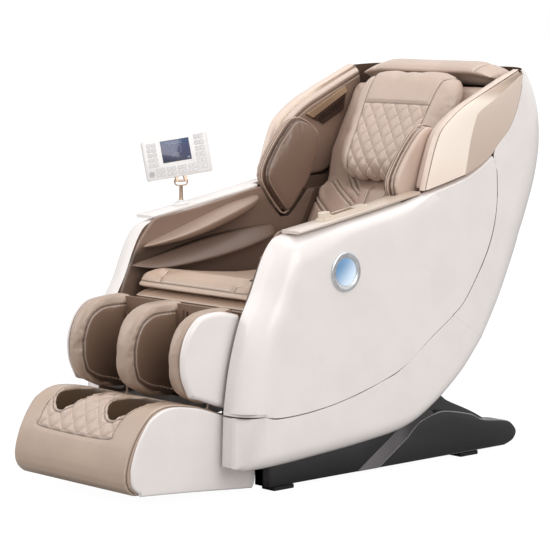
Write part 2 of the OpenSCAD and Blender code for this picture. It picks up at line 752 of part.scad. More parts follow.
// Back cushion: rings up its slope, wider above the arms and hollowed behind the pillow
pillow_z0 = 290;
pillow_seat = 24;
back_low_x = arm_x - 2;
back_top_x = wing_in - 3;
back_edge = 14;
function smooth_step(a, b, x) = let (t = min(1, max(0, (x - a) / (b - a)))) t * t * (3 - 2 * t);
function back_ring(z, half, y0, y1, draw) =
  let (r = min(back_edge, (y1 - y0) / 2 - 1), channel = pillow_w / 4)
  [for (p = concat(
      [for (x = [channel - 12, channel, channel + 12]) [x, y0 + (x == channel ? channel_d : 0)]],
      [for (k = [0:3]) let (a = 30 * k) [half - r + r * sin(a), y0 + r - r * cos(a)]],
      [for (k = [0:3]) let (a = 30 * k) [half - r + r * cos(a), y1 - r + r * sin(a)]],
      [[half / 2, y1], [-half / 2, y1]],
      [for (k = [3:-1:0]) let (a = 30 * k) [-half + r - r * cos(a), y1 - r + r * sin(a)]],
      [for (k = [3:-1:0]) let (a = 30 * k) [-half + r - r * sin(a), y0 + r - r * cos(a)]],
      [for (x = [channel + 12, channel, channel - 12]) [-x, y0 + (x == channel ? channel_d : 0)]]))
     [p[0] * draw, lerp((y0 + y1) / 2, p[1], draw), z]];
module back_cushion() {
  z_low = pillow_z0 - 12;
  levels = [[2, 0.94], [5, 0.98], [12, 1], [60, 1], [140, 1], [220, 1], [z_low - 6, 1],
            [z_low + 10, 1], [z_low + 26, 1], [400, 1], [500, 1], [back_len - 30, 1],
            [back_len - 10, 0.99], [back_len - 3, 0.96], [back_len, 0.92]];
  color("#a58b7b") on_back() skin([for (s = levels)
    back_ring(s[0], lerp(back_low_x, back_top_x, smooth_step(300, 345, s[0])),
              pillow_seat * smooth_step(z_low - 6, z_low + 24, s[0]), back_t, s[1])]);
}

module head_pillow() {
  power = 4;
  outline = [for (k = [0:39]) let (a = 9 * k, c = cos(a), s = sin(a))
    [sign(c) * pow(abs(c), 2 / power) * pillow_w / 2,
     sign(s) * pow(abs(s), 2 / power) * pillow_len / 2]];
  color("#cbb7a8") on_back()
    translate([0, pillow_seat - seat_gap - 14, pillow_z0 + pillow_len / 2]) rotate([90, 0, 0])
      crowned(outline, pillow_t + 12, 14, rings = 7, full = 0.3);
}

crown_x = 272;
module crown_cover() {
  crown_z = pillow_z0 + pillow_len + 4;
  start = back_to_side(-8, crown_z);
  lower = [start, back_to_side(pillow_seat + 2, crown_z), [628, 1079], [655, 1074], [693, 1086]];
  upper = [start + [3, 4], [592, 1134], [630, 1146], [668, 1150], [691, 1144], [699, 1122]];
  color("#c9b3a2")
    cushion_slab(even(lower, cushion_runs), even(upper, cushion_runs), crown_x, 14, 0, []);
}

// ---- Shoulder air pads ----

pad_outline = [[168, 808], [176, 845], [215, 904], [266, 961], [302, 980], [346, 971],
               [394, 938], [402, 905], [388, 856], [348, 780], [302, 724], [272, 696],
               [250, 696], [214, 731], [178, 778]];
pad_t = 30;
pad_base = 8;
leaf_t = 34;
leaf_x0 = wing_in - seat_gap - leaf_t;
pad_points = 28;
pad_loop = loop(pad_outline, pad_points);
pad_middle = middle(pad_loop);

// Places a cushion drawn in [-y, z] so that its crown faces the sitter
module facing_in(x) {
  translate([x, 0, 0]) rotate([90, 0, -90]) children();
}

module shoulder_pad(side) {
  color("#9c8272") sided(side) facing_in(leaf_x0 - seat_gap - pad_base * sin(74))
    crowned([for (p = pad_loop) [-p[0], p[1]]], pad_t - pad_base, pad_base,
            rings = 5, under = 1, full = 0.3);
}
module shoulder_pad_left() shoulder_pad(1);
module shoulder_pad_right() shoulder_pad(-1);

// Bellows behind the pad: two lobes with a sewn waist between them
module shoulder_leaf(side) {
  lobe = [[0, 0.86], [0.06, 0.95], [0.24, 0.99], [0.42, 0.95], [0.5, 0.88], [0.58, 0.95],
          [0.76, 0.98], [0.94, 0.94], [1, 0.86]];
  color("#8d7364") sided(side)
    skin([for (s = lobe) [for (p = pad_loop)
      let (q = lerp(pad_middle, p, s[1]) + [3, 0]) [leaf_x0 + leaf_t * s[0], q[0], q[1]]]]);
}
module shoulder_leaf_left() shoulder_leaf(1);
module shoulder_leaf_right() shoulder_leaf(-1);

// ---- Roller carriage ----

knead_y = track_y0 + 46;
knead_z = 150;
roller_y = track_y0 + roller_d / 2 + 10;
arm_plate_t = 8;
side_x0 = 148;
side_t = 6;
shoe_gap = 0.8;
shoe_h = 30;
shoe_z = 45;
back_plate_y = track_y0 + track_depth + 10;

module at_carriage() {
  on_back() translate([0, knead_y, knead_z]) children();
}

module carriage() {
  shoe_x1 = track_x1 - track_wall - shoe_gap;
  shoe_y0 = track_y0 + track_wall + shoe_gap;
  shoe_d = track_depth - 2 * (track_wall + shoe_gap);
  color("#77797d") {
    on_back() for (side = [-1, 1]) sided(side) {
      difference() {
        translate([side_x0, track_y0 + 16, knead_z - 72])
          cube([side_t, back_plate_y - track_y0 - 15, 144]);
        translate([0, knead_y, knead_z]) cross_rod(knead_d + 2 * run_gap, side_x0 - 1, side_x0 + 9);
      }
      for (z = [-shoe_z, shoe_z])
        translate([side_x0 + side_t - 1, shoe_y0, knead_z + z - shoe_h / 2])
          cube([shoe_x1 - side_x0 - side_t + 1, shoe_d, shoe_h]);
    }
    on_back() translate([-side_x0 - side_t, back_plate_y, knead_z - 72])
      cube([2 * (side_x0 + side_t), 5, 144]);
    on_back() translate([0, back_plate_y + 5 + 30, knead_z]) cross_rod(60, -110, 40);
    on_back() translate([40, back_plate_y + 5, knead_z - 34]) cube([60, 48, 68]);
  }
}

module knead_shaft() {
  color("#c4c6c9") at_carriage() union() {
    cross_rod(knead_d, -side_x0 - side_t - 2, side_x0 + side_t + 2);
    for (side = [-1, 1]) sided(side)
      cross_rod(knead_d + 12, side_x0 - 14, side_x0 - 1);
  }
}

arm_mid = roller_track / 2;
arm_x0 = arm_mid - roller_w / 2 - arm_plate_t - 2;
axle_x1 = arm_mid + roller_w / 2 + 2;
cap_d = axle_d + 8;
roller_dy = roller_y - knead_y;

module roller_arm(side) {
  color("#3c3d40") at_carriage() sided(side) {
    difference() {
      side_plate(arm_x0, arm_x0 + arm_plate_t) union() {
        circle(d = knead_d + 22);
        for (z = [-1, 1]) {
          translate([roller_dy, z * roller_reach]) circle(d = axle_d + 16);
          polygon([[knead_d / 2 + 8, 0], [14, z * 40], [roller_dy + 10, z * (roller_reach + 4)],
                   [roller_dy - 11, z * (roller_reach - 3)], [-8, z * 45], [-knead_d / 2 - 8, 0]]);
        }
      }
      cross_rod(knead_d + 2 * run_gap, arm_x0 - 1, arm_x0 + arm_plate_t + 1);
    }
    for (z = [-1, 1]) translate([0, roller_dy, z * roller_reach]) {
      cross_rod(axle_d, arm_x0 + 1, axle_x1 + 3);
      cross_rod(cap_d, axle_x1, axle_x1 + 3);
    }
  }
}
module roller_arm_left() roller_arm(1);
module roller_arm_right() roller_arm(-1);

module roller(side, z) {
  x0 = arm_mid - roller_w / 2;
  color("#26262a") at_carriage() sided(side) translate([x0, roller_dy, z * roller_reach])
    rotate([0, 90, 0]) rotate_extrude() union() {
      polygon([[axle_d / 2 + run_gap, 0], [roller_d / 2 - 9, 0], [roller_d / 2 - 2, 4],
               [roller_d / 2, roller_w / 2], [roller_d / 2 - 2, roller_w - 4],
               [roller_d / 2 - 9, roller_w], [axle_d / 2 + run_gap, roller_w]]);
    }
}
module roller_upper_left() roller(1, 1);
module roller_lower_left() roller(1, -1);
module roller_upper_right() roller(-1, 1);
module roller_lower_right() roller(-1, -1);

// ---- Arm controls ----

arm_slope = atan2(763 - 732.3, 180);
module on_arm(x, y) {
  translate([x, y, height_at(arm_line, y) + cap_rise + seat_gap]) rotate([arm_slope, 0, 0])
    children();
}

bar_h = 9;
dial_y = -116;
ring_d = dial_d + 13;
ring_h = 6;
key_w = 20;
key_len = 80;
key_at = 22;
key_pit = 5;
key_gap = 0.8;
console_x = cap_x0 + cap_w / 2;

module bar_outline(w, len) {
  translate([-w / 2, w / 4]) square([w, len - w / 2]);
  translate([-w / 4, 0]) square([w / 2, len]);
  for (x = [-w / 4, w / 4], y = [w / 4, len - w / 4]) translate([x, y]) circle(d = w / 2);
}

module control_bar() {
  color("#cfae86") on_arm(console_x, dial_y) difference() {
    union() {
      cylinder(d = ring_d, h = ring_h);
      translate([0, 6, 0]) linear_extrude(bar_h) bar_outline(bar_w, bar_len);
    }
    translate([0, 0, ring_h - 3]) cylinder(d = dial_d + 2 * key_gap, h = 20);
    translate([0, 0, -1]) cylinder(d = axle_d, h = 20);
    translate([-key_w / 2 - key_gap, key_at + 6 - key_gap, bar_h - key_pit])
      cube([key_w + 2 * key_gap, key_len + 2 * key_gap, 10]);
  }
}

module dial() {
  color("#d8c3a8") on_arm(console_x, dial_y) {
    translate([0, 0, ring_h - 3 + seat_gap]) difference() {
      cylinder(d = dial_d, h = dial_h);
      for (k = [0:23]) rotate(15 * k) translate([dial_d / 2 + 0.6, 0, 4])
        cylinder(d = 2.4, h = dial_h);
    }
    translate([0, 0, 0.2]) cylinder(d = axle_d - 2 * run_gap, h = ring_h);
  }
}

// Two-way key on a cross axle at its middle
module rocker_key() {
  color("#8a6f55") on_arm(console_x, dial_y)
    translate([0, key_at + 6 + key_len / 2, bar_h - key_pit + 2.6])
      side_plate(-key_w / 2, key_w / 2)
        polygon([[-4, -2.2], [4, -2.2], [key_len / 2, 0.6], [key_len / 2, 3.4], [0, 2],
                 [-key_len / 2, 3.4], [-key_len / 2, 0.6]]);
}

lamp_at = [-89, 596];
lamp_t = 6;
module side_lamp() {
  translate([body_x + seat_gap, lamp_at[0], lamp_at[1]]) rotate([0, 90, 0]) {
    color("#d8d9da") rotate_extrude($fn = 96)
      polygon([[0, 0], [lamp_d / 2, 0], [lamp_d / 2, 2], [lamp_d / 2 - 4, lamp_t],
               [lamp_d / 2 - 10, lamp_t], [lamp_d / 2 - 14, lamp_t - 2], [0, lamp_t - 2]]);
  }
}

// ---- Remote on its post ----

post_x = -console_x;
post_y = -104;
post_h = 69;
foot_disc_d = 50;
foot_disc_h = 6;
post_foot_z = height_at(arm_line, post_y) + cap_rise + seat_gap;
remote_yaw = 70;
remote_pitch = -8;
remote_roll = -7.5;
neck_d = 8;
yoke_drop = 16;
remote_drop = 13;

module remote_foot() {
  color("#e9e6e3") on_arm(post_x, post_y) difference() {
    union() {
      cylinder(d = foot_disc_d, h = foot_disc_h);
      rotate([-arm_slope, 0, 0]) translate([0, 0, foot_disc_h - 3]) cylinder(d = post_d + 10, h = 10);
    }
    rotate([-arm_slope, 0, 0]) translate([0, 0, 2]) cylinder(d = post_d + 2 * run_gap, h = 30);
  }
}

module at_post_top() {
  translate([post_x, post_y, post_foot_z + post_h]) rotate([0, 0, remote_yaw]) children();
}

module remote_post() {
  color("#c8a877") translate([post_x, post_y, post_foot_z + 2.4])
    cylinder(d = post_d, h = post_h - yoke_drop);
  color("#c8a877") at_post_top() difference() {
    union() {
      translate([-22, -6, -yoke_drop]) cube([44, 12, 6]);
      for (side = [-1, 1]) translate([side * 19 - 3, -6, -yoke_drop]) cube([6, 12, yoke_drop + 5]);
    }
    cross_rod(neck_d - 2 + 2 * run_gap, -30, 30);
  }
}

module in_remote() {
  at_post_top() rotate([remote_pitch, 0, 0]) rotate([0, remote_roll, 0])
    translate([0, 0, remote_drop + remote_h / 2]) children();
}

screen_w = 90;
screen_h = 64;
screen_at = [-2, 18];
key_grid = 9;
power_key_d = 16;
power_key_at = [-remote_w / 2 + 15, -remote_h / 2 + 19];

module face_plate(y0, y1) {
  translate([0, y1, 0]) rotate([90, 0, 0]) linear_extrude(y1 - y0) children();
}

module remote_case() {
  color("#f2f1ef") {
    in_remote() difference() {
      face_plate(-remote_t / 2, remote_t / 2) translate([-remote_w / 2, -remote_h / 2])
        translate([8, 8]) offset(r = 8) square([remote_w - 16, remote_h - 16]);
      translate([power_key_at[0], -remote_t / 2 + 4, power_key_at[1]]) rotate([90, 0, 0])
        cylinder(d = power_key_d + 1, h = remote_t);
    }
    at_post_top() union() {
      cross_rod(neck_d - 2, -21, 21);
      rotate([remote_pitch, 0, 0]) translate([-14, -5, -5]) cube([28, 10, remote_drop + 10]);
    }
  }
  color("#20304a") in_remote()
    face_plate(-remote_t / 2 - 0.6, -remote_t / 2 + 1) translate(screen_at)
      square([screen_w, screen_h], center = true);
  color("#d7d6d4") in_remote() face_plate(-remote_t / 2 - 0.8, -remote_t / 2 + 1)
    for (col = [0, 1, 2], row = [0:4], half = [-1, 1])
      translate([half * (remote_w / 2 - 22) + (col - 1) * (key_grid + 3) + (half > 0 ? -4 : 6),
                 remote_h / 2 - 20 - row * (key_grid + 4)])
        if (half > 0 || row < 4) square([key_grid, key_grid - 2], center = true);
}

module remote_key() {
  color("#b9c4cf") in_remote()
    translate([power_key_at[0], -remote_t / 2 + 4 - key_travel - 0.2, power_key_at[1]])
      rotate([90, 0, 0]) cylinder(d = power_key_d, h = 4.4);
}

// ---- Calf unit ----

calf_in = leg_x - calf_shell_t;
core_y0 = -436;
core_y1 = -410;
core_z0 = 250;
core_z1 = 505;
guide_y = (core_y0 + core_y1) / 2;
guide_x = 175;
extend_travel = 120;
pad_runs = 20;

module calf_core() {
  color("#6f5849") difference() {
    translate([-calf_in + seat_gap, core_y0, core_z0])
      cube([2 * (calf_in - seat_gap), core_y1 - core_y0, core_z1 - core_z0]);
    for (x = [-guide_x, guide_x]) translate([x, guide_y, core_z0 - 1])
      cylinder(d = guide_d + 2 * run_gap, h = 216);
    translate([-60, core_y1 - 6, leg_pivot[1] - 40]) cube([120, 7, 60]);
    for (side = [-1, 1]) sided(side)
      translate([lug_x0 - 4, core_y1 - 8, leg_pivot[1] - 28]) cube([lug_t + 8, 9, 60]);
  }
  color("#c4c6c9") {
    cross_rod(leg_pin_d, -lug_x0 + 5, lug_x0 - 5, leg_pivot);
    for (side = [-1, 1]) sided(side) side_plate(70, 78)
      polygon([[core_y1 - 1, leg_pivot[1] - 16], [leg_pivot[0], leg_pivot[1] - 14],
               [leg_pivot[0] + 14, leg_pivot[1]], [leg_pivot[0], leg_pivot[1] + 14],
               [core_y1 - 1, leg_pivot[1] + 16]]);
  }
}

calf_pad_front = [[-438, 262], [-480, 270], [-530, 277], [-568, 293], [-588, 330], [-592, 375],
                  [-588, 412], [-574, 450], [-552, 480], [-520, 501], [-488, 510], [-438, 512]];
calf_pad_rear = [[core_y0 - seat_gap, 264], [core_y0 - seat_gap, 510]];
module calf_pad(x0, x1) {
  color("#8d7263")
    slab(even(calf_pad_rear, pad_runs, false), even(calf_pad_front, pad_runs),
         rounded(x0, x1, 16, 2),
         concat([for (i = [0:pad_runs]) 0],
                rev([for (i = [0:pad_runs]) i == 0 || i == pad_runs ? 0 : 1])));
}
side_pad_w = calf_in - seat_gap - mid_pad_w / 2 - calf_gap_w;
module calf_pad_left() calf_pad(calf_in - seat_gap - side_pad_w, calf_in - seat_gap);
module calf_pad_mid() calf_pad(-mid_pad_w / 2, mid_pad_w / 2);
module calf_pad_right() calf_pad(-calf_in + seat_gap, -calf_in + seat_gap + side_pad_w);

calf_shell_front = [[-552, 284], [-573, 330], [-579, 367], [-577, 404], [-564, 443],
                    [-544, 472], [-516, 495], [-475, 504], [-430, 504], [-378, 492]];
calf_shell_rear = [[-547, 280], [-514, 271], [-450, 248], [-392, 234], [-376, 250],
                   [-370, 330], [-369, 400], [-372, 484]];
module calf_shell(side) {
  color("#efebe8") sided(side) slab(even(calf_shell_rear, pad_runs),
    even(calf_shell_front, pad_runs), concat([[calf_in, 0]], round_out(leg_x, 10, 2)), 1);
  color("#c4c6c9") sided(side) cross_rod(leg_pin_d, lug_x0 - 2, calf_in + 1, leg_pivot);
}
module calf_shell_left() calf_shell(1);
module calf_shell_right() calf_shell(-1);

// ---- Foot unit ----

foot_front = [[-745, 44], [-768, 66], [-772, 104], [-763, 140], [-750, 172], [-731, 204],
              [-707, 234], [-680, 257], [-653, 268], [-625, 272], [-588, 270], [-521, 257],
              [-439, 230], [-345, 206]];
foot_under = [[-738, 40], [-549, 28], [-350, 12], [-330, 14], [-322, 40], [-322, 110],
              [-324, 180], [-334, 198]];
well_x = (mid_pad_w + calf_gap_w) / 2;
well_y = -622;
well_z0 = 108;
sole_y = well_y + 6;
sole_z = well_z0 + sole_roller_d / 2 + 4;
foot_x = leg_x - cheek_t - seat_gap;
sole_pin_d = 10;

module well_outline(grow = 0) {
  polygon([for (k = [0:31]) let (a = 360 * k / 32, w = well_w / 2 + grow, l = well_len / 2 + grow)
             [w * cos(a), l * sin(a)]]);
}

module foot_cover() {
  color("#c2ab97") difference() {
    slab(even(foot_under, runs), even(foot_front, runs), rounded(-foot_x, foot_x, 12, 3), 1);
    for (x = [-well_x, well_x]) translate([x, well_y, well_z0])
      linear_extrude(200) well_outline();
    cross_rod(sole_pin_d + 2 * run_gap, -well_x - well_w / 2 - 12, well_x + well_w / 2 + 12,
              [sole_y, sole_z]);
  }
  color("#c4c6c9") for (x = [-guide_x, guide_x]) translate([x, guide_y, 200])
    cylinder(d = guide_d, h = 250);
}

cheek_front = [for (p = foot_front) p + [p[0] < -700 ? 14 : 6, p[0] < -700 ? 4 : -7]];
module foot_cheeks() {
  outline_low = even([for (p = foot_under) p + [p[0] < -700 ? 10 : 0, 0]], runs);
  color("#efebe8") for (side = [-1, 1]) sided(side)
    slab(outline_low, even(cheek_front, runs),
         concat([[leg_x - cheek_t, 0]], round_out(leg_x, 5, 2)), 1);
}

// Two ribbed sole rollers on one shaft
module sole_rollers() {
  color("#5a4a40") for (side = [-1, 1]) translate([side * well_x, sole_y, sole_z])
    rotate([0, 90, 0]) rotate_extrude() polygon(concat([[0, -45]],
      [for (k = [0:12]) [sole_roller_d / 2 - (k % 2 == 0 ? 5 : 0), -45 + 7.5 * k]], [[0, 45]]));
  color("#c4c6c9")
    cross_rod(sole_pin_d, -well_x - well_w / 2 - 10, well_x + well_w / 2 + 10, [sole_y, sole_z]);
}

base_side_left();
base_side_right();
base_trims();
cross_tubes();
feet();
power_box();
power_switch();
tilt_motor();
tilt_rod();
cabin_frame();
seat_board();
leg_motor();
side_panel_left();
side_panel_right();
rear_shell();
wing_left();
wing_right();
wing_liner_left();
wing_liner_right();
speakers();
arm_cap_left();
arm_cap_right();
arm_liner_left();
arm_liner_right();
arm_flap_left();
arm_flap_right();
seat_cushion();
seat_apron();
back_cushion();
head_pillow();
crown_cover();
shoulder_pad_left();
shoulder_pad_right();
shoulder_leaf_left();
shoulder_leaf_right();
carriage();
knead_shaft();
roller_arm_left();
roller_arm_right();
roller_upper_left();
roller_lower_left();
roller_upper_right();
roller_lower_right();
control_bar();
dial();
rocker_key();
side_lamp();
remote_foot();
remote_post();
remote_case();
remote_key();
calf_core();
calf_shell_left();
calf_shell_right();
calf_pad_left();
calf_pad_mid();
calf_pad_right();
foot_cover();
foot_cheeks();
sole_rollers();
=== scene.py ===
# A reclining massage chair: leather upholstery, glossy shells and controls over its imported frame.
# Metres, +Z up, floor at z = 0, the chair faces -Y, the sitter's left is +X.
import math

import bmesh
import bpy
import numpy as np
from mathutils import Matrix, Vector


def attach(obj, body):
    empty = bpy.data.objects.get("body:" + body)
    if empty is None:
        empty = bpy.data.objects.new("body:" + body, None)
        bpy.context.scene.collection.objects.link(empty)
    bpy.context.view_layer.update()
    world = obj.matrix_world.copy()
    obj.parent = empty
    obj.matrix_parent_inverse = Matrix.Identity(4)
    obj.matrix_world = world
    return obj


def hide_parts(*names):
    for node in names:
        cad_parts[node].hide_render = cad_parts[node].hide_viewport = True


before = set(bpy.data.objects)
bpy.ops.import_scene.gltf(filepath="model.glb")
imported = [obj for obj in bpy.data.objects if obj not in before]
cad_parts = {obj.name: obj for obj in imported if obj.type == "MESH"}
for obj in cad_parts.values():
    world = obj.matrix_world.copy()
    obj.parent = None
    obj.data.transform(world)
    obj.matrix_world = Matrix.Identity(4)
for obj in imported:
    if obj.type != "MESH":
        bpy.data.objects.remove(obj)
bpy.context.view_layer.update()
scene = bpy.context.scene
scene.view_settings.view_transform = "Standard"
SIDES = {"left": 1, "right": -1}


def linked(name, data):
    """A new object in the scene."""
    made = bpy.data.objects.new(name, data)
    scene.collection.objects.link(made)
    return made


def drawn(name, bm, *finishes):
    """A new object from a bmesh and its finishes."""
    mesh = bpy.data.meshes.new(name)
    bm.to_mesh(mesh)
    bm.free()
    for finish in finishes:
        mesh.materials.append(finish.material)
    return linked(name, mesh)


# ---- Camera ----

def aim_camera():
    turn, rise, distance = math.radians(47.5), math.radians(6.66), 7.26
    target = Vector((0, -0.016, 0.55))
    look = Vector((-math.sin(turn) * math.cos(rise), math.cos(turn) * math.cos(rise), -math.sin(rise)))
    data = bpy.data.cameras.new("camera")
    data.lens, data.sensor_width = 165.8, 36
    camera = linked("camera", data)
    camera.location = target - look * distance
    camera.rotation_euler = look.to_track_quat("-Z", "Y").to_euler()
    scene.camera = camera


aim_camera()


# ---- Shader maths and finishes ----

def paint(code):
    """Linear colour of a written sRGB one, such as 'c9b3a2'."""
    parts = [int(code[i:i + 2], 16) / 255 for i in (0, 2, 4)]
    return (*[c / 12.92 if c <= 0.04045 else ((c + 0.055) / 1.055) ** 2.4 for c in parts], 1)


def tinted(colour, factor):
    """A colour made lighter or darker."""
    return (*[min(1, c * factor) for c in colour[:3]], 1)


def of_two(operation, swapped=False):
    """A method that makes the shader node of a sum of two parts."""
    return lambda self, other: self.math(operation, *((other, self) if swapped else (self, other)))


class Value:
    """A shader socket that takes part in Python sums."""

    def __init__(self, finish, socket):
        self.finish, self.socket = finish, socket

    def math(self, operation, *parts):
        return self.finish.node("Math", {"operation": operation}, parts)

    __add__ = __radd__ = of_two("ADD")
    __mul__ = __rmul__ = of_two("MULTIPLY")
    __sub__, __rsub__ = of_two("SUBTRACT"), of_two("SUBTRACT", True)
    __truediv__, below = of_two("DIVIDE"), of_two("LESS_THAN")

    def __abs__(self):
        return self.math("ABSOLUTE", self)

    def fraction(self):
        return self.math("FRACT", self)

    def fade(self, near, far):
        """0 at near, 1 at far, smooth between."""
        return self.finish.node("MapRange", {"interpolation_type": "SMOOTHSTEP"},
                                {"Value": self, "From Min": near, "From Max": far})


class Finish:
    """One material and the nodes that feed it."""

    def __init__(self, name, **constants):
        self.material = bpy.data.materials.new(name)
        self.material.use_nodes = True
        self.tree = self.material.node_tree
        self.shader = self.tree.nodes["Principled BSDF"]
        for key, value in constants.items():
            self.shader.inputs[key.replace("_", " ")].default_value = value

    def node(self, kind, settings=None, inputs=(), out=0):
        made = self.tree.nodes.new("ShaderNode" + kind)
        for key, value in (settings or {}).items():
            setattr(made, key, value)
        for key, value in (inputs.items() if isinstance(inputs, dict) else enumerate(inputs)):
            if isinstance(value, Value):
                self.tree.links.new(value.socket, made.inputs[key])
            else:
                made.inputs[key].default_value = value
        return Value(self, made.outputs[out])

    def at(self):
        return self.node("TexCoord", out=3)

    def axes(self):
        split = self.node("SeparateXYZ", {}, [self.at()]).socket.node
        return [Value(self, split.outputs[i]) for i in range(3)]

    def noise(self, scale, detail=2, roughness=0.5, squash=(1, 1, 1)):
        place = self.node("Mapping", {}, {"Vector": self.at(), "Scale": squash})
        return self.node("TexNoise", {}, {"Vector": place, "Scale": scale, "Detail": detail,
                                          "Roughness": roughness})

    def pebbles(self, scale):
        return self.node("TexVoronoi", {"feature": "SMOOTH_F1"},
                         {"Vector": self.at(), "Scale": scale, "Smoothness": 0.4})

    def mix(self, share, a, b):
        return self.node("Mix", {"data_type": "RGBA"}, {0: share, 6: a, 7: b}, out=2)

    def attribute(self, name):
        return self.node("Attribute", {"attribute_name": name}, out=2)

    def feed(self, **links):
        for key, value in links.items():
            socket = self.shader.inputs[key.replace("_", " ")]
            self.tree.links.new(value.socket, socket)

    def bump(self, height, depth, strength=1.0):
        self.feed(Normal=self.node("Bump", {}, {"Height": height, "Distance": depth,
                                                "Strength": strength}))


FOLD_NEAR, FOLD_FAR = 0.0004, 0.0028
STITCH_OFF, STITCH_HALF, STITCH_PITCH = 0.0052, 0.0009, 0.0066


def leather(name, code, roughness=0.4, sewn=True, crease="3a2a20", thread="d9c8b8", shade=None,
            patch=None):
    """Fine grained upholstery leather. Sewn pieces carry their seams in the mesh: seam is the
    distance from the nearest one, stitch the length along it, tone and patch the shares of the
    second and third colour, which on some pieces are painted shade."""
    f = Finish(name, Specular_IOR_Level=0.55, Coat_Roughness=0.22, Coat_Weight=0.2)
    colour = paint(code)
    cloud = f.noise(6, 3)
    grain = f.pebbles(950)
    wrinkle = f.noise(160, 3, 0.6)
    base = f.mix(cloud.fade(0.3, 0.7), tinted(colour, 0.93), tinted(colour, 1.05))
    if shade:
        base = f.mix(f.attribute("tone"), base, paint(shade))
    if patch:
        base = f.mix(f.attribute("patch"), base, paint(patch))
    base = f.mix(grain.fade(0.25, 0.75) * 0.18, base, tinted(colour, 0.55))
    height = grain * -0.5 + wrinkle * 0.35
    if sewn:
        seam = f.attribute("seam")
        fold = 1 - seam.fade(FOLD_NEAR, FOLD_FAR)
        line = abs(seam - STITCH_OFF).below(STITCH_HALF)
        thread_on = line * (f.attribute("stitch") / STITCH_PITCH).fraction().below(0.7)
        base = f.mix(fold * 0.75, base, paint(crease))
        base = f.mix(thread_on * 0.8, base, paint(thread))
        height = height - fold * 2.0 + thread_on * 1.6
    f.feed(Base_Color=base, Roughness=(roughness - 0.06) + wrinkle * 0.1 + grain * 0.05)
    f.bump(height, 0.00022, 0.8)
    return f


def gloss(name, code, roughness=0.16, coat=0.6, speckle=0.03, metallic=0.0, edge="9a9490"):
    """Lacquered moulding: an even colour with faint ripple, fine polishing and dust in the lows."""
    f = Finish(name, Specular_IOR_Level=0.5, Coat_Roughness=0.06, Metallic=metallic,
               Coat_Weight=coat)
    colour = paint(code)
    ripple = f.noise(9, 2)
    dust = f.noise(420, 4, 0.7)
    base = f.mix(ripple.fade(0.3, 0.7), tinted(colour, 0.975), tinted(colour, 1.015))
    base = f.mix(dust.fade(0.62, 0.85) * speckle, base, paint(edge))
    f.feed(Base_Color=base, Roughness=roughness + dust * 0.05)
    f.bump(ripple * 0.8 + dust * 0.02, 0.0004, 0.35)
    return f


def metal(name, code, roughness=0.25, grain=(1, 1, 40), scale=60):
    """Brushed or plated metal, its brush marks drawn out along one axis."""
    f = Finish(name, Metallic=1.0)
    colour = paint(code)
    marks = f.noise(scale, 4, 0.6, grain)
    smear = f.noise(14, 2)
    base = f.mix(marks.fade(0.3, 0.75), tinted(colour, 0.86), tinted(colour, 1.06))
    f.feed(Base_Color=base, Roughness=roughness + marks * 0.12 + smear * 0.06)
    f.bump(marks, 0.00008, 0.5)
    return f


def moulded(name, code, roughness=0.5, texture=0.00012, scale=700):
    """Plain moulded plastic, rubber or painted steel with a fine texture."""
    f = Finish(name, Specular_IOR_Level=0.45)
    colour = paint(code)
    skin = f.noise(scale, 3, 0.6)
    cloud = f.noise(8, 3)
    base = f.mix(cloud.fade(0.3, 0.7), tinted(colour, 0.88), tinted(colour, 1.1))
    f.feed(Base_Color=base, Roughness=(roughness - 0.05) + skin * 0.12)
    f.bump(skin, texture, 0.7)
    return f


def plywood():
    f = Finish("birch_board")
    _, _, z = f.axes()
    streak = f.noise(9, 5, 0.6, (1, 14, 1))
    plies = (z / 0.0024).fraction().fade(0.4, 0.6)
    base = f.mix(streak, paint("a98258"), paint("c9a67a"))
    base = f.mix(plies * 0.18, base, paint("7d5c3a"))
    f.feed(Base_Color=base, Roughness=0.55 + streak * 0.15)
    f.bump(streak, 0.0002, 0.6)
    return f


def shaded(name, stops, roughness=0.22, coat=0.4, metallic=0.0, axis=2):
    """Lacquer whose colour changes along an axis: stops are places with their colours. On the wings,
    the near arm cap, the base stripe and the calf core this change is painted light and shade.
    """
    f = gloss(name, stops[0][1], roughness, coat, metallic=metallic)
    place = f.axes()[axis]
    base = paint(stops[0][1])
    for (low, _), (high, colour) in zip(stops, stops[1:]):
        base = f.mix(place.fade(low, high), base, paint(colour))
    f.feed(Base_Color=base)
    return f


LAMP_AT = (-0.089, 0.596)


def lamp_glass():
    f = Finish("lamp_glass", Coat_Weight=0.5, Coat_Roughness=0.05, Roughness=0.2,
               Emission_Strength=0.35)
    _, y, z = f.axes()
    # Painted reflection: the dome runs from deep blue to pale along a slant across it.
    painted_reflection = ((y - LAMP_AT[0]) - (z - LAMP_AT[1])) * 8.5 + 0.42
    colour = f.mix(painted_reflection.fade(0.0, 1.0), paint("5c84aa"), paint("dbe8f4"))
    colour = f.mix(f.noise(30, 2).fade(0.3, 0.7) * 0.1, colour, paint("8fb4d6"))
    f.feed(Base_Color=colour, Emission_Color=colour)
    return f


WHITE = gloss("white_lacquer", "ebe4e1", 0.24, 0.45)
# Painted highlight and shade: the wing's champagne lacquer is lightest part way up its face and darkens
# sharply near its top.
CHAMPAGNE = shaded("champagne_lacquer_painted_light", [(0.8, "f4e2d3"), (0.93, "faecdf"), (1.04, "f7e8da"),
                                         (1.075, "c9b3a2"), (1.11, "a38d7d")])
IVORY = gloss("ivory_lip", "dfcabc", 0.24, 0.4)
# Painted light: the wing panel's taupe lacquer grows lighter towards the top.
PANEL = shaded("taupe_lacquer_painted_light", [(0.84, "cab5a6"), (1.12, "dac8bb")], 0.3, 0.3)
# Painted shade: the near arm cap's lacquer darkens from front to rear.
CAP = shaded("arm_cap_lacquer_painted_shade", [(-0.24, "ddd0c7"), (0.02, "cfbfb2"), (0.22, "bda897")], 0.3, 0.35, 0.05, 1)
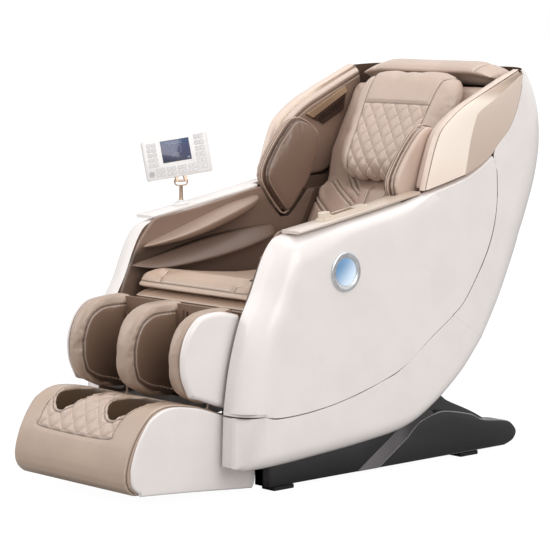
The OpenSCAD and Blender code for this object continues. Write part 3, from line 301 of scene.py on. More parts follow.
# Painted light: the far arm's cap gets a paler, lit copy of the same lacquer.
CAP_FAR = gloss("arm_cap_painted_light", "efe8e4", 0.3, 0.3)
CONSOLE = gloss("console_champagne", "eadccb", 0.22, 0.45, metallic=0.2)
GOLD = metal("champagne_gold", "cab29c", 0.25, (40, 1, 1))
BRONZE = metal("bronze_key", "a98d6f", 0.28)
CHROME = metal("polished_chrome", "e6e8eb", 0.12, (1, 1, 1))
BEZEL = metal("speaker_bezel", "d9c4ac", 0.3, (1, 1, 20))
LENS = lamp_glass()
STEEL = metal("bright_steel", "b9bcc0", 0.26)
# Painted sheen: the silver stripe is lighter at its low front end and darkens towards its high rear end.
SILVER = shaded("silver_stripe_painted_sheen", [(0.06, "7d797b"), (0.19, "676365"), (0.25, "3b393a")], 0.26, 0.3, 0.3, 1)
BLACK = gloss("black_moulding", "171518", 0.34, 0.2)
BASE_EDGE = gloss("base_edge", "8a8688", 0.3, 0.3, metallic=0.5)
FRAME_PAINT = moulded("frame_paint", "3f4043", 0.45)
MOTOR = moulded("motor_housing", "37383b", 0.5)
RUBBER = moulded("foot_rubber", "19191b", 0.75, 0.0002)
ROLLER = moulded("roller_rubber", "232326", 0.6)
SWITCH = moulded("switch_plastic", "151517", 0.35)
INSIDE = moulded("shell_inside", "6b5547", 0.6)
REMOTE_WHITE = gloss("remote_white", "efedec", 0.24, 0.3)
KEYS = moulded("remote_keys", "bdbcbd", 0.4, 0.00006)
KEY_FACE = moulded("remote_key_face", "e3e2e3", 0.4, 0.00006)
SCREEN = shaded("remote_screen", [(0.84, "43434c"), (0.90, "3c4066"), (0.93, "34486f")], 0.12, 0.6)
LINES = moulded("screen_lines", "b9c3d8", 0.4, 0.00002)
BOARD = plywood()
GRILLE = moulded("speaker_mesh", "3a261b", 0.6, 0.0003, 500)
PILLOW = leather("pillow_leather", "c8b1a2", 0.34, shade="a08671")
SEAT = leather("seat_leather", "c6ab97", 0.34, shade="8d7261")
TAUPE = leather("taupe_leather", "bda293", 0.36, shade="6b5446", patch="c3ac9c")
# pad_leather's second colour is painted shade, laid on the pads' inward faces.
PAD = leather("pad_leather", "d0b8a9", 0.34, shade="7b6253", thread="b8a292")
PIPING = leather("piping_leather", "c4ab9b", 0.34, sewn=False)
# calf_leather's third colour is painted shade, laid on the flanks down in the channel.
CALF = leather("calf_leather", "b49d8c", 0.3, shade="826857", patch="2f221b")
FOOT = leather("foot_leather", "bba391", 0.34, shade="5f4a38", patch="c6afa0")
# liner_leather's second colour is painted shade under the arm's flaps.
LINER = leather("liner_leather", "917869", 0.4, shade="3f2f25", patch="d6c1b3")
# flap_leather's second colour is painted shade on the flaps' undersides.
FLAP = leather("flap_leather", "a38b7b", 0.34, shade="6f5849")
# Painted shade: the calf core's face darkens down into the channel between the pads.
CHANNEL = shaded("channel_leather", [(0.27, "2a1f1a"), (0.40, "4a392f"), (0.50, "7d6352")], 0.5, 0.0)


# ---- Curves ----

def curve(points, n=8, closed=False):
    """A smooth run through the points, as a numpy array."""
    p = [np.array(q, float) for q in points]
    count = len(p)
    made = []
    for i in range(count if closed else count - 1):
        a, b, c, d = [p[(i + k) % count] if closed else p[min(max(i + k, 0), count - 1)]
                      for k in (-1, 0, 1, 2)]
        for t in [k / n for k in range(n)]:
            made.append(0.5 * (2 * b + (c - a) * t + (2 * a - 5 * b + 4 * c - d) * t * t
                               + (3 * b - a - 3 * c + d) * t ** 3))
    if not closed:
        made.append(p[-1])
    return np.array(made)


def even(points, count):
    """count points spaced evenly along the smooth run through the points."""
    q = curve(points)
    walked = np.concatenate([[0], np.cumsum(np.linalg.norm(np.diff(q, axis=0), axis=1))])
    stops = np.linspace(0, walked[-1], count)
    return np.stack([np.interp(stops, walked, q[:, i]) for i in range(q.shape[1])], axis=1)


def mm(points):
    """Places written in mm, as metres."""
    return [tuple(c / 1000 for c in p) for p in points]


def turns(n):
    """The angles of n even steps round a circle."""
    return [2 * math.pi * k / n for k in range(n)]


def share(values, start, size):
    """How far values have come from start, over a size, held between 0 and 1."""
    return np.clip((values - start) / size, 0, 1)


def nearest(points, lines):
    """Distance of 2D points from the nearest of some runs, and the length along it."""
    best = np.full(len(points), 1.0)
    along = np.zeros(len(points))
    for line in lines:
        line = np.array(line, float)
        walked = 0.0
        for a, b in zip(line, line[1:]):
            ab = b - a
            size = float(np.linalg.norm(ab))
            t = np.clip((points - a) @ ab / max(size * size, 1e-12), 0, 1)
            d = np.linalg.norm(points - a - t[:, None] * ab, axis=1)
            closer = d < best
            best[closer] = d[closer]
            along[closer] = walked + t[closer] * size
            walked += size
    return best, along


def inside(points, ring):
    """Which 2D points lie inside a closed ring."""
    ring = np.array(ring, float)
    held = np.zeros(len(points), bool)
    for (x0, y0), (x1, y1) in zip(ring, np.roll(ring, -1, axis=0)):
        crosses = (y0 > points[:, 1]) != (y1 > points[:, 1])
        if y1 != y0:
            held ^= crosses & (points[:, 0] < (x1 - x0) * (points[:, 1] - y0) / (y1 - y0) + x0)
    return held


LEAN = math.radians(28)
HIP = (0.270, 0.530)


def to_back(p):
    """World places as x, depth behind the backrest's face, height up its slope."""
    y, z = p[:, 1] - HIP[0], p[:, 2] - HIP[1]
    return np.stack([p[:, 0], y * math.cos(LEAN) - z * math.sin(LEAN),
                     y * math.sin(LEAN) + z * math.cos(LEAN)], axis=1)


# ---- Making pieces ----

def merged(node):
    """A bmesh of a CAD node with its loose triangles joined."""
    bm = bmesh.new()
    bm.from_mesh(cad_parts[node].data)
    bmesh.ops.remove_doubles(bm, verts=bm.verts, dist=1e-5)
    return bm


def put(name, bm, body, finish, replaces=(), angle=32):
    """Makes a bmesh a piece: smooth but for edges sharper than angle, riding on its body."""
    bmesh.ops.recalc_face_normals(bm, faces=bm.faces)
    limit = math.radians(angle)
    for face in bm.faces:
        face.smooth = True
    for edge in bm.edges:
        if len(edge.link_faces) == 2 and edge.calc_face_angle(0) > limit:
            edge.smooth = False
    piece = drawn(name, bm, *(finish if isinstance(finish, list) else [finish]))
    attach(piece, body)
    if replaces:
        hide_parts(*replaces)
    return piece


def bevelled(piece, width, segments=2, angle=30):
    """Rounds a piece's sharp edges a little, so that they catch the light."""
    bevel = piece.modifiers.new("edges", "BEVEL")
    bevel.width, bevel.segments, bevel.limit_method = width, segments, "ANGLE"
    bevel.angle_limit = math.radians(angle)
    bevel.harden_normals = True
    bevel.use_clamp_overlap = True
    return piece


def dress(node, body, finish, slot, bevel=0.0008):
    """A rigid CAD node with its flat faces joined, its curves smooth and its edges eased."""
    bm = merged(node)
    bmesh.ops.dissolve_limit(bm, angle_limit=math.radians(0.6), verts=bm.verts, edges=bm.edges)
    piece = put(node + "_dressed", bm, body, finish, [node])
    return bevelled(piece, bevel) if bevel else piece


def loft(bm, rings, caps=True, tags=None):
    """Draws a ring of edges out from place to place, and closes the two ends.
    tags gives each edge of the ring the material index of the faces that it leaves behind."""
    verts = [bm.verts.new(p) for p in rings[0]]
    edges = [bm.edges.new(pair) for pair in zip(verts, verts[1:] + verts[:1])]
    if caps:
        bm.faces.new(verts)
    for ring in rings[1:]:
        geom = bmesh.ops.extrude_edge_only(bm, edges=edges)["geom"]
        fresh = {g for g in geom if isinstance(g, bmesh.types.BMVert)}
        moved = []
        for v, place in zip(verts, ring):
            new = next(e.other_vert(v) for e in v.link_edges if e.other_vert(v) in fresh)
            new.co = place
            moved.append(new)
        if tags:
            for index, edge in enumerate(edges):
                for face in edge.link_faces:
                    if any(v in fresh for v in face.verts):
                        face.material_index = tags[index]
        edges = [bm.edges.get(pair) for pair in zip(moved, moved[1:] + moved[:1])]
        verts = moved
    if caps:
        bm.faces.new(verts)
    return bm


def mark(bm, before, index, chosen=lambda face: True):
    """Gives the chosen faces drawn since before a material index."""
    for face in bm.faces:
        if face not in before and chosen(face):
            face.material_index = index


def tube(bm, path, radius, sides=8, closed=False, squash=1.0):
    """A cord, piping or stitched welt along a path of 3D points."""
    p = [Vector(q) for q in path]
    rings = []
    up = None
    for i, q in enumerate(p):
        before = p[i - 1] if i or closed else q
        after = p[(i + 1) % len(p)] if i + 1 < len(p) or closed else q
        way = (after - before).normalized()
        if up is None:
            up = way.orthogonal().normalized()
        up = (up - way * up.dot(way)).normalized()
        across = way.cross(up)
        rings.append([q + (up * math.cos(a) * squash + across * math.sin(a)) * radius
                      for a in turns(sides)])
    return loft(bm, rings + ([rings[0]] if closed else []), caps=not closed)


def piping(name, path, radius, body):
    """A closed run of piping."""
    bm = tube(bmesh.new(), path, radius, closed=True)
    bmesh.ops.remove_doubles(bm, verts=bm.verts, dist=1e-6)
    return put(name, bm, body, PIPING, angle=80)


def mirrored(points):
    return [(-p[0], p[1], p[2]) for p in points]


def inset(ring, depth, weights=1.0):
    """A closed outline moved inwards."""
    ring = np.array(ring, float)
    before = ring - np.roll(ring, 1, axis=0)
    after = np.roll(before, -1, axis=0)
    area = np.sum(ring[:, 0] * np.roll(ring[:, 1], -1) - ring[:, 1] * np.roll(ring[:, 0], -1))

    def left(v):
        return np.stack([-v[:, 1], v[:, 0]], axis=1) / np.linalg.norm(v, axis=1)[:, None]

    a, b = left(before), left(after)
    bend = np.maximum(0.35, 1 + (a * b).sum(axis=1))
    move = (a + b) * (math.copysign(1, area) * depth / bend)[:, None]
    return ring + move * (np.array(weights)[:, None] if np.ndim(weights) else weights)


# ---- Padded pieces ----

FAR = 1.0  # stands for no seam near
soft = []


def pad(name, body, node, finish, slot, voxel, shrink, cap, carve, fill, held=None, smooth=3):
    """A padded piece drawn from its CAD solid: evenly remeshed, and blown up once all are there.
    cap is how far it may swell, carve sews seams and channels into the result, fill is not used,
    and held says which places stay put."""
    piece = drawn(name + "_leather", merged(node), finish)
    remesh = piece.modifiers.new("even", "REMESH")
    remesh.mode, remesh.voxel_size, remesh.use_smooth_shade = "VOXEL", voxel, True
    bake(piece)
    bm = bmesh.new()
    bm.from_mesh(piece.data)
    for _ in range(smooth):
        bmesh.ops.smooth_vert(bm, verts=bm.verts, factor=0.5, use_axis_x=True, use_axis_y=True,
                              use_axis_z=True)
    bm.normal_update()
    for v in bm.verts:
        v.co -= v.normal * shrink
    bm.to_mesh(piece.data)
    bm.free()
    soft.append(dict(piece=piece, body=body, node=node, slot=slot, cap=cap, carve=carve, fill=fill,
                     held=held))


def bake(piece):
    """Turns a piece's modifiers into its mesh."""
    bpy.context.view_layer.update()
    made = bpy.data.meshes.new_from_object(piece.evaluated_get(bpy.context.evaluated_depsgraph_get()))
    for material in piece.data.materials:
        if material.name not in [m.name for m in made.materials if m]:
            made.materials.append(material)
    piece.modifiers.clear()
    piece.data = made


def vectors(parts, key):
    """A vector property of a mesh's parts as an array."""
    flat = np.empty(len(parts) * 3, np.float32)
    parts.foreach_get(key, flat)
    return flat.reshape(-1, 3).astype(float)


def places(mesh):
    return vectors(mesh.vertices, "co")


def normals(mesh):
    return vectors(mesh.vertex_normals, "vector")


def sew(mesh, carve):
    """Presses seams and channels into a mesh, and leaves their places on it for the leather."""
    p, n = places(mesh), normals(mesh)
    moved, marks = carve(p, n)
    mesh.vertices.foreach_set("co", moved.astype(np.float32).ravel())
    zero = np.zeros(len(p))
    plain = {"seam": zero + FAR, "stitch": zero, "tone": zero, "patch": zero}
    for key, values in {**plain, **marks}.items():
        mesh.attributes.new(key, "FLOAT", "POINT").data.foreach_set("value", values.astype(np.float32))
    mesh.update()


PRESSURE, BLOWN_AT = 4.0, 20


def inflate():
    """Blows all the padded pieces up side by side as cloth, and caps how far they move."""
    for s in soft:
        piece = s["piece"]
        s["rest"] = places(piece.data)
        s["out"] = normals(piece.data)
        if not s["cap"]:
            continue
        cloth = piece.modifiers.new("cloth", "CLOTH")
        cloth.settings.use_pressure = True
        cloth.settings.uniform_pressure_force = PRESSURE
        cloth.settings.effector_weights.gravity = 0
        cloth.settings.quality = 4
        cloth.point_cache.frame_start, cloth.point_cache.frame_end = 1, BLOWN_AT
        if s["held"]:
            group = piece.vertex_groups.new(name="held")
            group.add([int(i) for i in np.nonzero(s["held"](s["rest"], s["out"]))[0]], 1, "REPLACE")
            cloth.settings.vertex_group_mass = "held"
    for step in range(1, BLOWN_AT + 1):
        scene.frame_set(step)
    graph = bpy.context.evaluated_depsgraph_get()
    for s in soft:
        piece = s["piece"]
        if piece.modifiers:
            blown = places(piece.evaluated_get(graph).to_mesh())
            piece.evaluated_get(graph).to_mesh_clear()
            move = blown - s["rest"]
            size = np.linalg.norm(move, axis=1)
            scale = np.where(size > 1e-9, s["cap"] * np.tanh(size / s["cap"]) / np.maximum(size, 1e-9), 0)
            piece.data.vertices.foreach_set("co", (s["rest"] + move * scale[:, None])
                                            .astype(np.float32).ravel())
            piece.modifiers.clear()
            piece.data.update()
    scene.frame_set(1)
    for s in soft:
        piece = s["piece"]
        finer = piece.modifiers.new("finer", "SUBSURF")
        finer.levels = finer.render_levels = 1
        bake(piece)
        sew(piece.data, s["carve"])
        piece.data.polygons.foreach_set("use_smooth", [True] * len(piece.data.polygons))
        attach(piece, s["body"])
        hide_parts(s["node"])


def groove(distance, depth, width):
    """Depth of a sewn channel at a distance from its middle."""
    return depth * np.exp(-(distance / width) ** 2)


def sewn(p, n, seam, depth, width, stitch, **marks):
    """One channel pressed in along a seam, and its marks for the leather."""
    return p - n * groove(seam, depth, width)[:, None], {"seam": seam, "stitch": stitch, **marks}


# ---- Head pillow ----

PILLOW_LOW, PILLOW_LEN = 0.290, 0.370
DIAMOND_W, DIAMOND_H = 0.050, 0.056
QUILT_X, QUILT_TOP = 0.129, 0.531
PILLOW_FACE, PILLOW_HELD, BACK_FACE, BACK_HELD = 0.012, 0.016, 0.02, 0.035  # depths behind the back's plane


def diamonds(u, v, w, h):
    """Puffed diamonds: 1 in their middles and 0 along their sewn lines."""
    a, b = u / w + v / h, u / w - v / h
    return np.abs(np.sin(math.pi * a) * np.sin(math.pi * b)) ** 0.42, \
        np.minimum(np.abs(a - np.round(a)), np.abs(b - np.round(b))) * w * h / math.hypot(w, h)


def sew_pillow(p, n):
    q = to_back(p)
    flat = q[:, [0, 2]]
    top = PILLOW_LOW + PILLOW_LEN
    side = [(QUILT_X, PILLOW_LOW - 0.01), (QUILT_X, 0.58), (0.136, 0.62), (0.158, 0.648), (0.185, top)]
    side = curve(side, 8)
    lines = [side, side * [-1, 1], [(-QUILT_X, QUILT_TOP), (QUILT_X, QUILT_TOP)]]
    d, along = nearest(flat, lines)
    front = q[:, 1] < PILLOW_FACE
    d = np.where(front, d, FAR)
    drop = groove(d, 0.006, 0.007)
    puff, line = diamonds(flat[:, 0], flat[:, 1] - 0.3, DIAMOND_W, DIAMOND_H)
    quilt = front & (np.abs(flat[:, 0]) < QUILT_X) & (flat[:, 1] < QUILT_TOP)
    fade = share(np.minimum(QUILT_X - np.abs(flat[:, 0]), QUILT_TOP - flat[:, 1]), 0, 0.006)
    lift = np.where(quilt, (puff - 0.75) * 0.0075 * fade, 0)
    sewn = np.where(quilt, np.minimum(d, line + 0.0012), d)
    moved = p + n * (lift - drop)[:, None]
    high = share(flat[:, 1], 0.44, 0.21)
    moved[:, 0] *= 1 + 0.13 * high
    moved += high[:, None] ** 2 * 0.009 * np.array([0, math.sin(LEAN), math.cos(LEAN)])
    return moved, {"seam": sewn, "stitch": along}


# ---- Backrest ----

WELTS = [[(-0.330, 0.446), (-0.070, 0.264)], [(-0.310, 0.362), (-0.075, 0.225)],
         [(-0.345, 0.303), (-0.075, 0.125)]]
WELT_STEP = 0.017


def sew_back(p, n):
    q = to_back(p)
    flat = q[:, [0, 2]]
    flat[:, 0] = -np.abs(flat[:, 0])
    lines = [[(x, z - shift) for x, z in welt] for welt in WELTS for shift in (0.0, WELT_STEP)]
    d, along = nearest(flat, lines)
    front = (q[:, 1] < BACK_FACE) & (n[:, 1] < 0)
    d = np.where(front, d, FAR)
    middle, run = nearest(flat, [[(-0.035, 0.0), (-0.035, 0.29)]])
    middle = np.where(front, middle, FAR)
    drop = groove(d, 0.0045, 0.0045) + groove(middle, 0.004, 0.006)
    return p - n * drop[:, None], {"seam": np.minimum(d, middle),
                                   "stitch": np.where(d < middle, along, run),
                                   "patch": share(q[:, 2], 0.50, 0.06)}


# ---- Seat ----

def sew_seat(p, n):
    """Sunk towards the rear, with a bolster down each side."""
    dip = 0.55 * share(p[:, 1], -0.27, 0.40)
    sunk = p.copy()
    sunk[:, 2] -= np.clip(p[:, 2] - 0.5160, 0, 1) * dip
    sunk[:, 1] += 0.016 * share(p[:, 1], 0.20, 0.06)
    up = (n[:, 2] > 0.0) & (p[:, 2] > 0.541)
    bolster = curve([(0.112, -0.372), (0.142, -0.345), (0.168, -0.29), (0.179, -0.20), (0.182, 0.1),
                     (0.186, 0.3)], 6)
    d, along = nearest(p[:, :2], [bolster, bolster * [-1, 1]])
    d = np.where(up, d, FAR)
    rim, run = nearest(p[:, 1:], [[(-0.40, z), (0.30, z)] for z in (0.520, 0.539)])
    rim = np.where(np.abs(n[:, 2]) < 0.8, rim, FAR)
    drop = groove(d, 0.007, 0.010) + groove(rim, 0.0015, 0.004)
    return sunk - n * drop[:, None], {"seam": np.minimum(d, rim), "stitch": np.where(d < rim, along, run)}


def sew_apron(p, n):
    rim, _ = nearest(p[:, 1:], [[(-0.36, 0.4985), (-0.30, 0.488), (-0.1, 0.488)]])
    return sewn(p, n, np.where(n[:, 1] < -0.2, rim, FAR), 0.002, 0.004, p[:, 0] + 1)


# ---- Calf pads ----

CALF_FRONT = mm([(-438, 262), (-480, 270), (-530, 277), (-568, 293), (-588, 330), (-592, 375),
                 (-588, 412), (-574, 450), (-552, 480), (-520, 501), (-488, 510), (-438, 512)])
BAND = 0.027


def sew_calf(p, n):
    """The band round a pad narrows to nothing under it; painted shade darkens the flanks into the channel.
    """
    edge, along = nearest(p[:, 1:], [curve(CALF_FRONT, 6)])
    low = share(p[:, 2], 0.266, 0.07)
    band = BAND * low * (2 - low)
    seam = np.where((np.abs(n[:, 0]) > 0.35) & (low > 0.15), np.abs(edge - band), FAR)
    tone = np.clip((edge - band) / 0.0012 + 0.5, 0, 1)
    # Painted shade: the flanks darken low down and towards the rear, into the channel.
    deep = share(-p[:, 2], -0.47, 0.20) * share(p[:, 1], -0.57, 0.11)
    moved, marks = sewn(p, n, seam, 0.003, 0.004, along, tone=tone, patch=tone * deep * 0.85)
    moved[:, 1] += 0.046 * np.clip((p[:, 1] + 0.500) / 0.060, 0, 1.05) ** 2
    moved[:, 2] -= 0.016 * share(-p[:, 2], -0.33, 0.06) * share(p[:, 1], -0.575, 0.08)
    return moved, marks


# ---- Shoulder pads and bellows ----

PAD_OUTLINE = mm([(168, 808), (176, 845), (215, 904), (266, 961), (302, 980), (346, 971),
                  (394, 938), (402, 905), (388, 856), (348, 780), (302, 724), (272, 696),
                  (250, 696), (214, 731), (178, 778)])


def sew_shoulder(p, n):
    ring = curve(PAD_OUTLINE, 6, closed=True)
    ring = np.vstack([ring, ring[:1]])
    edge, along = nearest(p[:, 1:], [ring])
    front = (np.abs(p[:, 0]) < 0.262) & inside(p[:, 1:], ring)
    # Painted shade: faces turned in towards the sitter darken, outward faces stay light.
    tone = np.clip(0.5 - 1.4 * n[:, 0] * np.sign(p[:, 0]), 0, 1)
    return sewn(p, n, np.where(front, np.abs(edge - 0.009), FAR), 0.002, 0.0035, along, tone=tone)


def sew_bellows(p, n):
    waist = np.abs(np.abs(p[:, 0]) - 0.2824)
    # Painted shade: faces turned in towards the sitter darken, outward faces stay light.
    tone = np.clip(0.4 - 1.2 * n[:, 0] * np.sign(p[:, 0]), 0, 1)
    return sewn(p, n, waist, 0.002, 0.003, p[:, 1] + p[:, 2], tone=tone)


# ---- Liners and flaps ----

ARM_LINER_TOP = mm([(-372, 504), (-343, 571), (-301, 649), (-262, 694), (-232, 712), (-110, 728),
                    (21, 752), (160, 778), (300, 788), (390, 790)])
ARM_LINER_LOW = mm([(-368, 490), (-340, 462), (-200, 458), (0, 458), (200, 458), (256, 516),
                    (298, 594), (340, 674), (380, 748), (396, 782)])
WING_FRONT = mm([(240, 804), (255, 853), (281, 924), (308, 969), (376, 1018), (457, 1056),
                 (556, 1099), (612, 1122)])


def sew_wing(p, n):
    edge, along = nearest(p[:, 1:], [curve(WING_FRONT, 6)])
    seam = np.where(np.abs(n[:, 0]) > 0.5, np.abs(edge - 0.020), FAR)
    return sewn(p, n, seam, 0.002, 0.004, along, patch=share(-edge, -0.012, 0.002))


UPPER_LEAF = (mm([(-275, 640), (-142, 675), (21, 722), (148, 752)]),
              mm([(-304, 633), (-152, 667), (6, 712), (140, 747)]))
LOWER_LEAF = (mm([(-301, 588), (-196, 609), (-62, 633), (76, 648), (215, 660)]),
              mm([(-350, 582), (-255, 571), (-96, 586), (69, 612), (208, 641)]))
UPPER_SECTION = [(0, 0.5), (0.3, 0.5), (0.6, 0.44), (0.85, 0.3), (0.96, 0.16), (1.0, 0.0), (0.99, -0.25),
                 (0.95, -0.7), (0.86, -1.1), (0.7, -1.3), (0.35, -1.3), (0, -1.2)]
LOWER_SECTION = [(0, 0.62), (0.2, 0.58), (0.45, 0.46), (0.7, 0.26), (0.9, 0.02), (0.98, -0.16),
                 (0.94, -0.30), (0.8, -0.42), (0.45, -0.5), (0, -0.5)]


def leaf(bm, lines, section, root_x, sign):
    """An air flap: a wedge that swells from its pointed ends, lofted along the arm."""
    reach, thick, count = 0.058, 0.020, 48
    roots, edges = [even(line, count) for line in lines]
    rings = []
    for k in range(2 if sign > 0 else 0, count):
        part = (k + 0.5) / count
        swell = 0.1 + 0.9 * math.sin(math.pi * part) ** 0.45
        deep = thick * swell * (0.55 + 0.8 * part)
        ring = []
        for s, t in section:
            y, z = roots[k] + (edges[k] - roots[k]) * s
            ring.append((sign * (root_x - reach * s * swell), y, z + deep * t))
        rings.append(ring)
    return loft(bm, rings)


def shade_flap(p, n):
    # Painted shade: faces turned downwards darken.
    return p, {"tone": np.clip(0.45 - n[:, 2] * 0.6, 0, 1)}


def shade_arm(p, n):
    """The arm's lining lies in its flaps' shade: the lower flap is part of it."""
    # Painted shade: darkest just under the upper flap and fading towards the rear, even below the lower
    # flap, and on the lower flap's downward faces.
    flap = np.abs(p[:, 0]) < 0.2575
    under = np.clip((0.646 + 0.262 * (p[:, 1] + 0.275) - p[:, 2]) / 0.025, 0, 1)
    tone = under * (0.95 - 0.5 * share(p[:, 1], -0.02, 0.14))
    tone = np.where(p[:, 2] < 0.60 + 0.12 * (p[:, 1] + 0.2), 0.6, tone)
    return p, {"tone": np.where(flap, np.clip(0.62 - n[:, 2] * 0.3, 0, 1), tone)}


# ---- Foot unit ----

WELL_X, WELL_Y, WELL_W, WELL_LEN = 0.1125, -0.622, 0.128, 0.170
COVER_X = 0.2487
FOOT_FRONT = mm([(-745, 44), (-768, 66), (-772, 104), (-763, 140), (-750, 172), (-731, 204),
                 (-707, 234), (-680, 257), (-653, 268), (-625, 272), (-588, 270), (-521, 257),
                 (-439, 230), (-345, 206)])


def sew_foot(p, n):
    """A quilted patch on the front that reaches up between the wells, and a hem round each well."""
    edge, run = nearest(p[:, 1:], [curve(FOOT_FRONT, 8)])
    outer = edge < 0.008
    in_well = np.zeros(len(p), bool)
    rim = np.full(len(p), FAR)
    rim_run = np.zeros(len(p))
    for x in (-WELL_X, WELL_X):
        ring = [(x + WELL_W / 2 * math.cos(a), WELL_Y + WELL_LEN / 2 * math.sin(a))
                for a in turns(64) + [2 * math.pi]]
        d, s = nearest(p[:, :2], [ring])
        within = inside(p[:, :2], ring[:-1])
        in_well |= within | (d < 0.003)
        closer = d < rim
        rim[closer], rim_run[closer] = d[closer], s[closer]
    flat = np.stack([p[:, 0], run], axis=1)
    low, high = 0.150, 0.345
    patch = curve([(-0.172, 0.175), (-0.150, 0.152), (0.120, 0.152), (0.145, 0.178), (0.150, 0.235),
                   (0.135, 0.258), (0.090, 0.262), (0.055, 0.275), (0.036, 0.300), (0.030, 0.335),
                   (0.018, high), (-0.018, high), (-0.030, 0.335), (-0.036, 0.300), (-0.055, 0.275),
                   (-0.100, 0.262), (-0.160, 0.258), (-0.178, 0.235)], 6, closed=True)
    border, border_run = nearest(flat, [np.vstack([patch, patch[:1]])])
    quilt = inside(flat, patch) & outer & ~in_well
    puff, line = diamonds(flat[:, 0], flat[:, 1] - low, 0.056, 0.062)
    lift = np.where(quilt, (puff - 0.7) * 0.007 * share(border, 0, 0.006), 0)
    border = np.where(outer & ~in_well, border, FAR)
    side = np.where(outer, np.abs(COVER_X - 0.005 - np.abs(p[:, 0])), FAR)
    seam = np.minimum(np.minimum(border, side), np.where(quilt, line + 0.0014, FAR))
    stitch = np.where(side < border, run, border_run)
    hem = np.where(outer & ~in_well, np.abs(rim - 0.010), FAR)
    stitch = np.where(hem < seam, rim_run, stitch)
    seam = np.minimum(seam, hem)
    deep = in_well & (p[:, 2] < 0.262)
    drop = groove(border, 0.004, 0.006) + groove(side, 0.0025, 0.004) + groove(hem, 0.0016, 0.004)
    return p + n * (lift - drop)[:, None], {"seam": np.where(deep, FAR, seam), "stitch": stitch,
                                            "tone": deep * 1.0, "patch": quilt * 1.0}


def sew_crown(p, n):
    """Rounded down at both ends, with a bolster sewn in at each."""
    d, along = nearest(p[:, :2], [[(0.205, 0.5), (0.205, 0.72)], [(-0.205, 0.5), (-0.205, 0.72)]])
    moved, marks = sewn(p, n, np.where(n[:, 2] > 0.1, d, FAR), 0.005, 0.006, along)
    end = share(np.abs(p[:, 0]), 0.160, 0.112) ** 2
    moved[:, 2] -= np.clip(moved[:, 2] - 1.079, 0, 1) * 0.42 * end
    moved[:, 1] += 0.010 * end
    return moved, marks


def upholster():
    back_side = lambda p, n: to_back(p)[:, 1] > BACK_HELD
    under = lambda p, n: n[:, 2] < -0.7
    pad("head_pillow", "cabin", "head_pillow", PILLOW, "beige_leather", 0.006, 0.004, 0.009, sew_pillow,
        0.75, lambda p, n: to_back(p)[:, 1] > PILLOW_HELD)
    pad("back_cushion", "cabin", "back_cushion", TAUPE, "taupe_leather", 0.007, 0.002, 0.006, sew_back,
        0.7, back_side)
    pad("seat_cushion", "cabin", "seat_cushion", SEAT, "beige_leather", 0.006, 0.002, 0.010, sew_seat,
        0.75, under, 9)
    pad("seat_apron", "cabin", "seat_apron", SEAT, "beige_leather", 0.006, 0.001, 0.004, sew_apron,
        0.7, under)
    pad("crown", "cabin", "crown_cover", PILLOW, "beige_leather", 0.006, 0.003, 0.007, sew_crown,
        0.6, under, 12)
    rim = inset(curve(PAD_OUTLINE, 6, closed=True), 0.0015)
    for side, sign in SIDES.items():
        pad(f"shoulder_pad_{side}", f"pad_{side}", f"shoulder_pad_{side}", PAD, "pad_leather",
            0.005, 0.002, 0.006, sew_shoulder, 0.7, lambda p, n: np.abs(p[:, 0]) > 0.258)
        pad(f"shoulder_bellows_{side}", f"bellows_{side}", f"shoulder_leaf_{side}", PAD, "pad_leather",
            0.005, 0.001, 0.0, sew_bellows, 0.4)
        for part, x in (("pad", 0.2612), ("bellows", 0.2694)):
            piping(f"{part}_piping_{side}", [(sign * x, *q) for q in rim], 0.0021, f"{part}_{side}")
        pad(f"wing_liner_{side}", "cabin", f"wing_liner_{side}", LINER, "taupe_leather", 0.006, 0.001,
            0.0, sew_wing, 0.5)
    for part in ("left", "mid", "right"):
        pad(f"calf_pad_{part}", "calf_unit", f"calf_pad_{part}", CALF, "pad_leather", 0.005, 0.002,
            0.006, sew_calf, 0.75, lambda p, n: p[:, 1] > -0.442)
    pad("foot_cover", "foot_unit", "foot_cover", FOOT, "beige_leather", 0.0055, 0.0005, 0.0, sew_foot,
        0.6, smooth=2)
    inflate()


upholster()


# ---- Shells, wings and cheeks ----

SEAM_GAP = 0.002
BODY_X, ARM_X = 0.365, 0.2683
PANEL_INNER = ARM_X + 0.0003
PANEL_ROUND, SKIRT_ROUND, SHELL_ROUND, WALL = 0.072, 0.044, 0.120, 0.006
SEAM = mm([(-452, 226), (-361, 216), (-211, 221), (-56, 246), (129, 301), (255, 382), (343, 437),
           (394, 479), (465, 580), (503, 658), (522, 743), (521, 837), (514, 872)])
PANEL_TOP = mm([(-453, 236), (-432, 360), (-396, 475), (-355, 551), (-318, 634), (-285, 684),
                (-246, 704), (-130, 726.8), (50, 757.6), (231, 794), (382, 831), (452, 861),
                (503, 894)])
EDGE_SOFTNESS = ([0, 0.44, 0.54, 0.72, 0.79, 1.0], [1.0, 1.0, 0.55, 0.5, 0.1, 0.06])
BACK_LINE = mm([(484, 352), (565, 450), (640, 560), (683, 632), (727, 731), (757, 818), (773, 911),
                (766, 1009), (740, 1083), (704, 1136)])
RIM_LINE = mm([(343, 437), (394, 479), (466, 580), (504, 658), (522, 743), (521, 837), (507, 898),
               (574, 964), (612, 1039), (632, 1128)])
SKIRT_LOW = mm([(-457, 88), (-440, 80), (-343, 79), (-191, 88), (6, 104), (169, 127), (280, 176),
                (396, 259), (484, 352), (522, 398)])
SKIRT_TOP = mm([(-452, 225), (-361, 215), (-211, 220), (-56, 245), (60, 277), (129, 300),
                (255, 381), (343, 436), (390, 476)])
WING_EDGE = mm([(228, 799), (244, 853), (270, 926), (299, 974), (371, 1026), (454, 1065),
                (554, 1108), (618, 1134)])
WING_FACET = mm([(386, 838), (393, 866), (409, 937), (427, 987), (445, 1015), (512, 1051),
                 (612, 1112)])
WING_REAR = mm([(389, 836), (452, 863), (507, 898), (574, 964), (612, 1039), (630, 1122)])
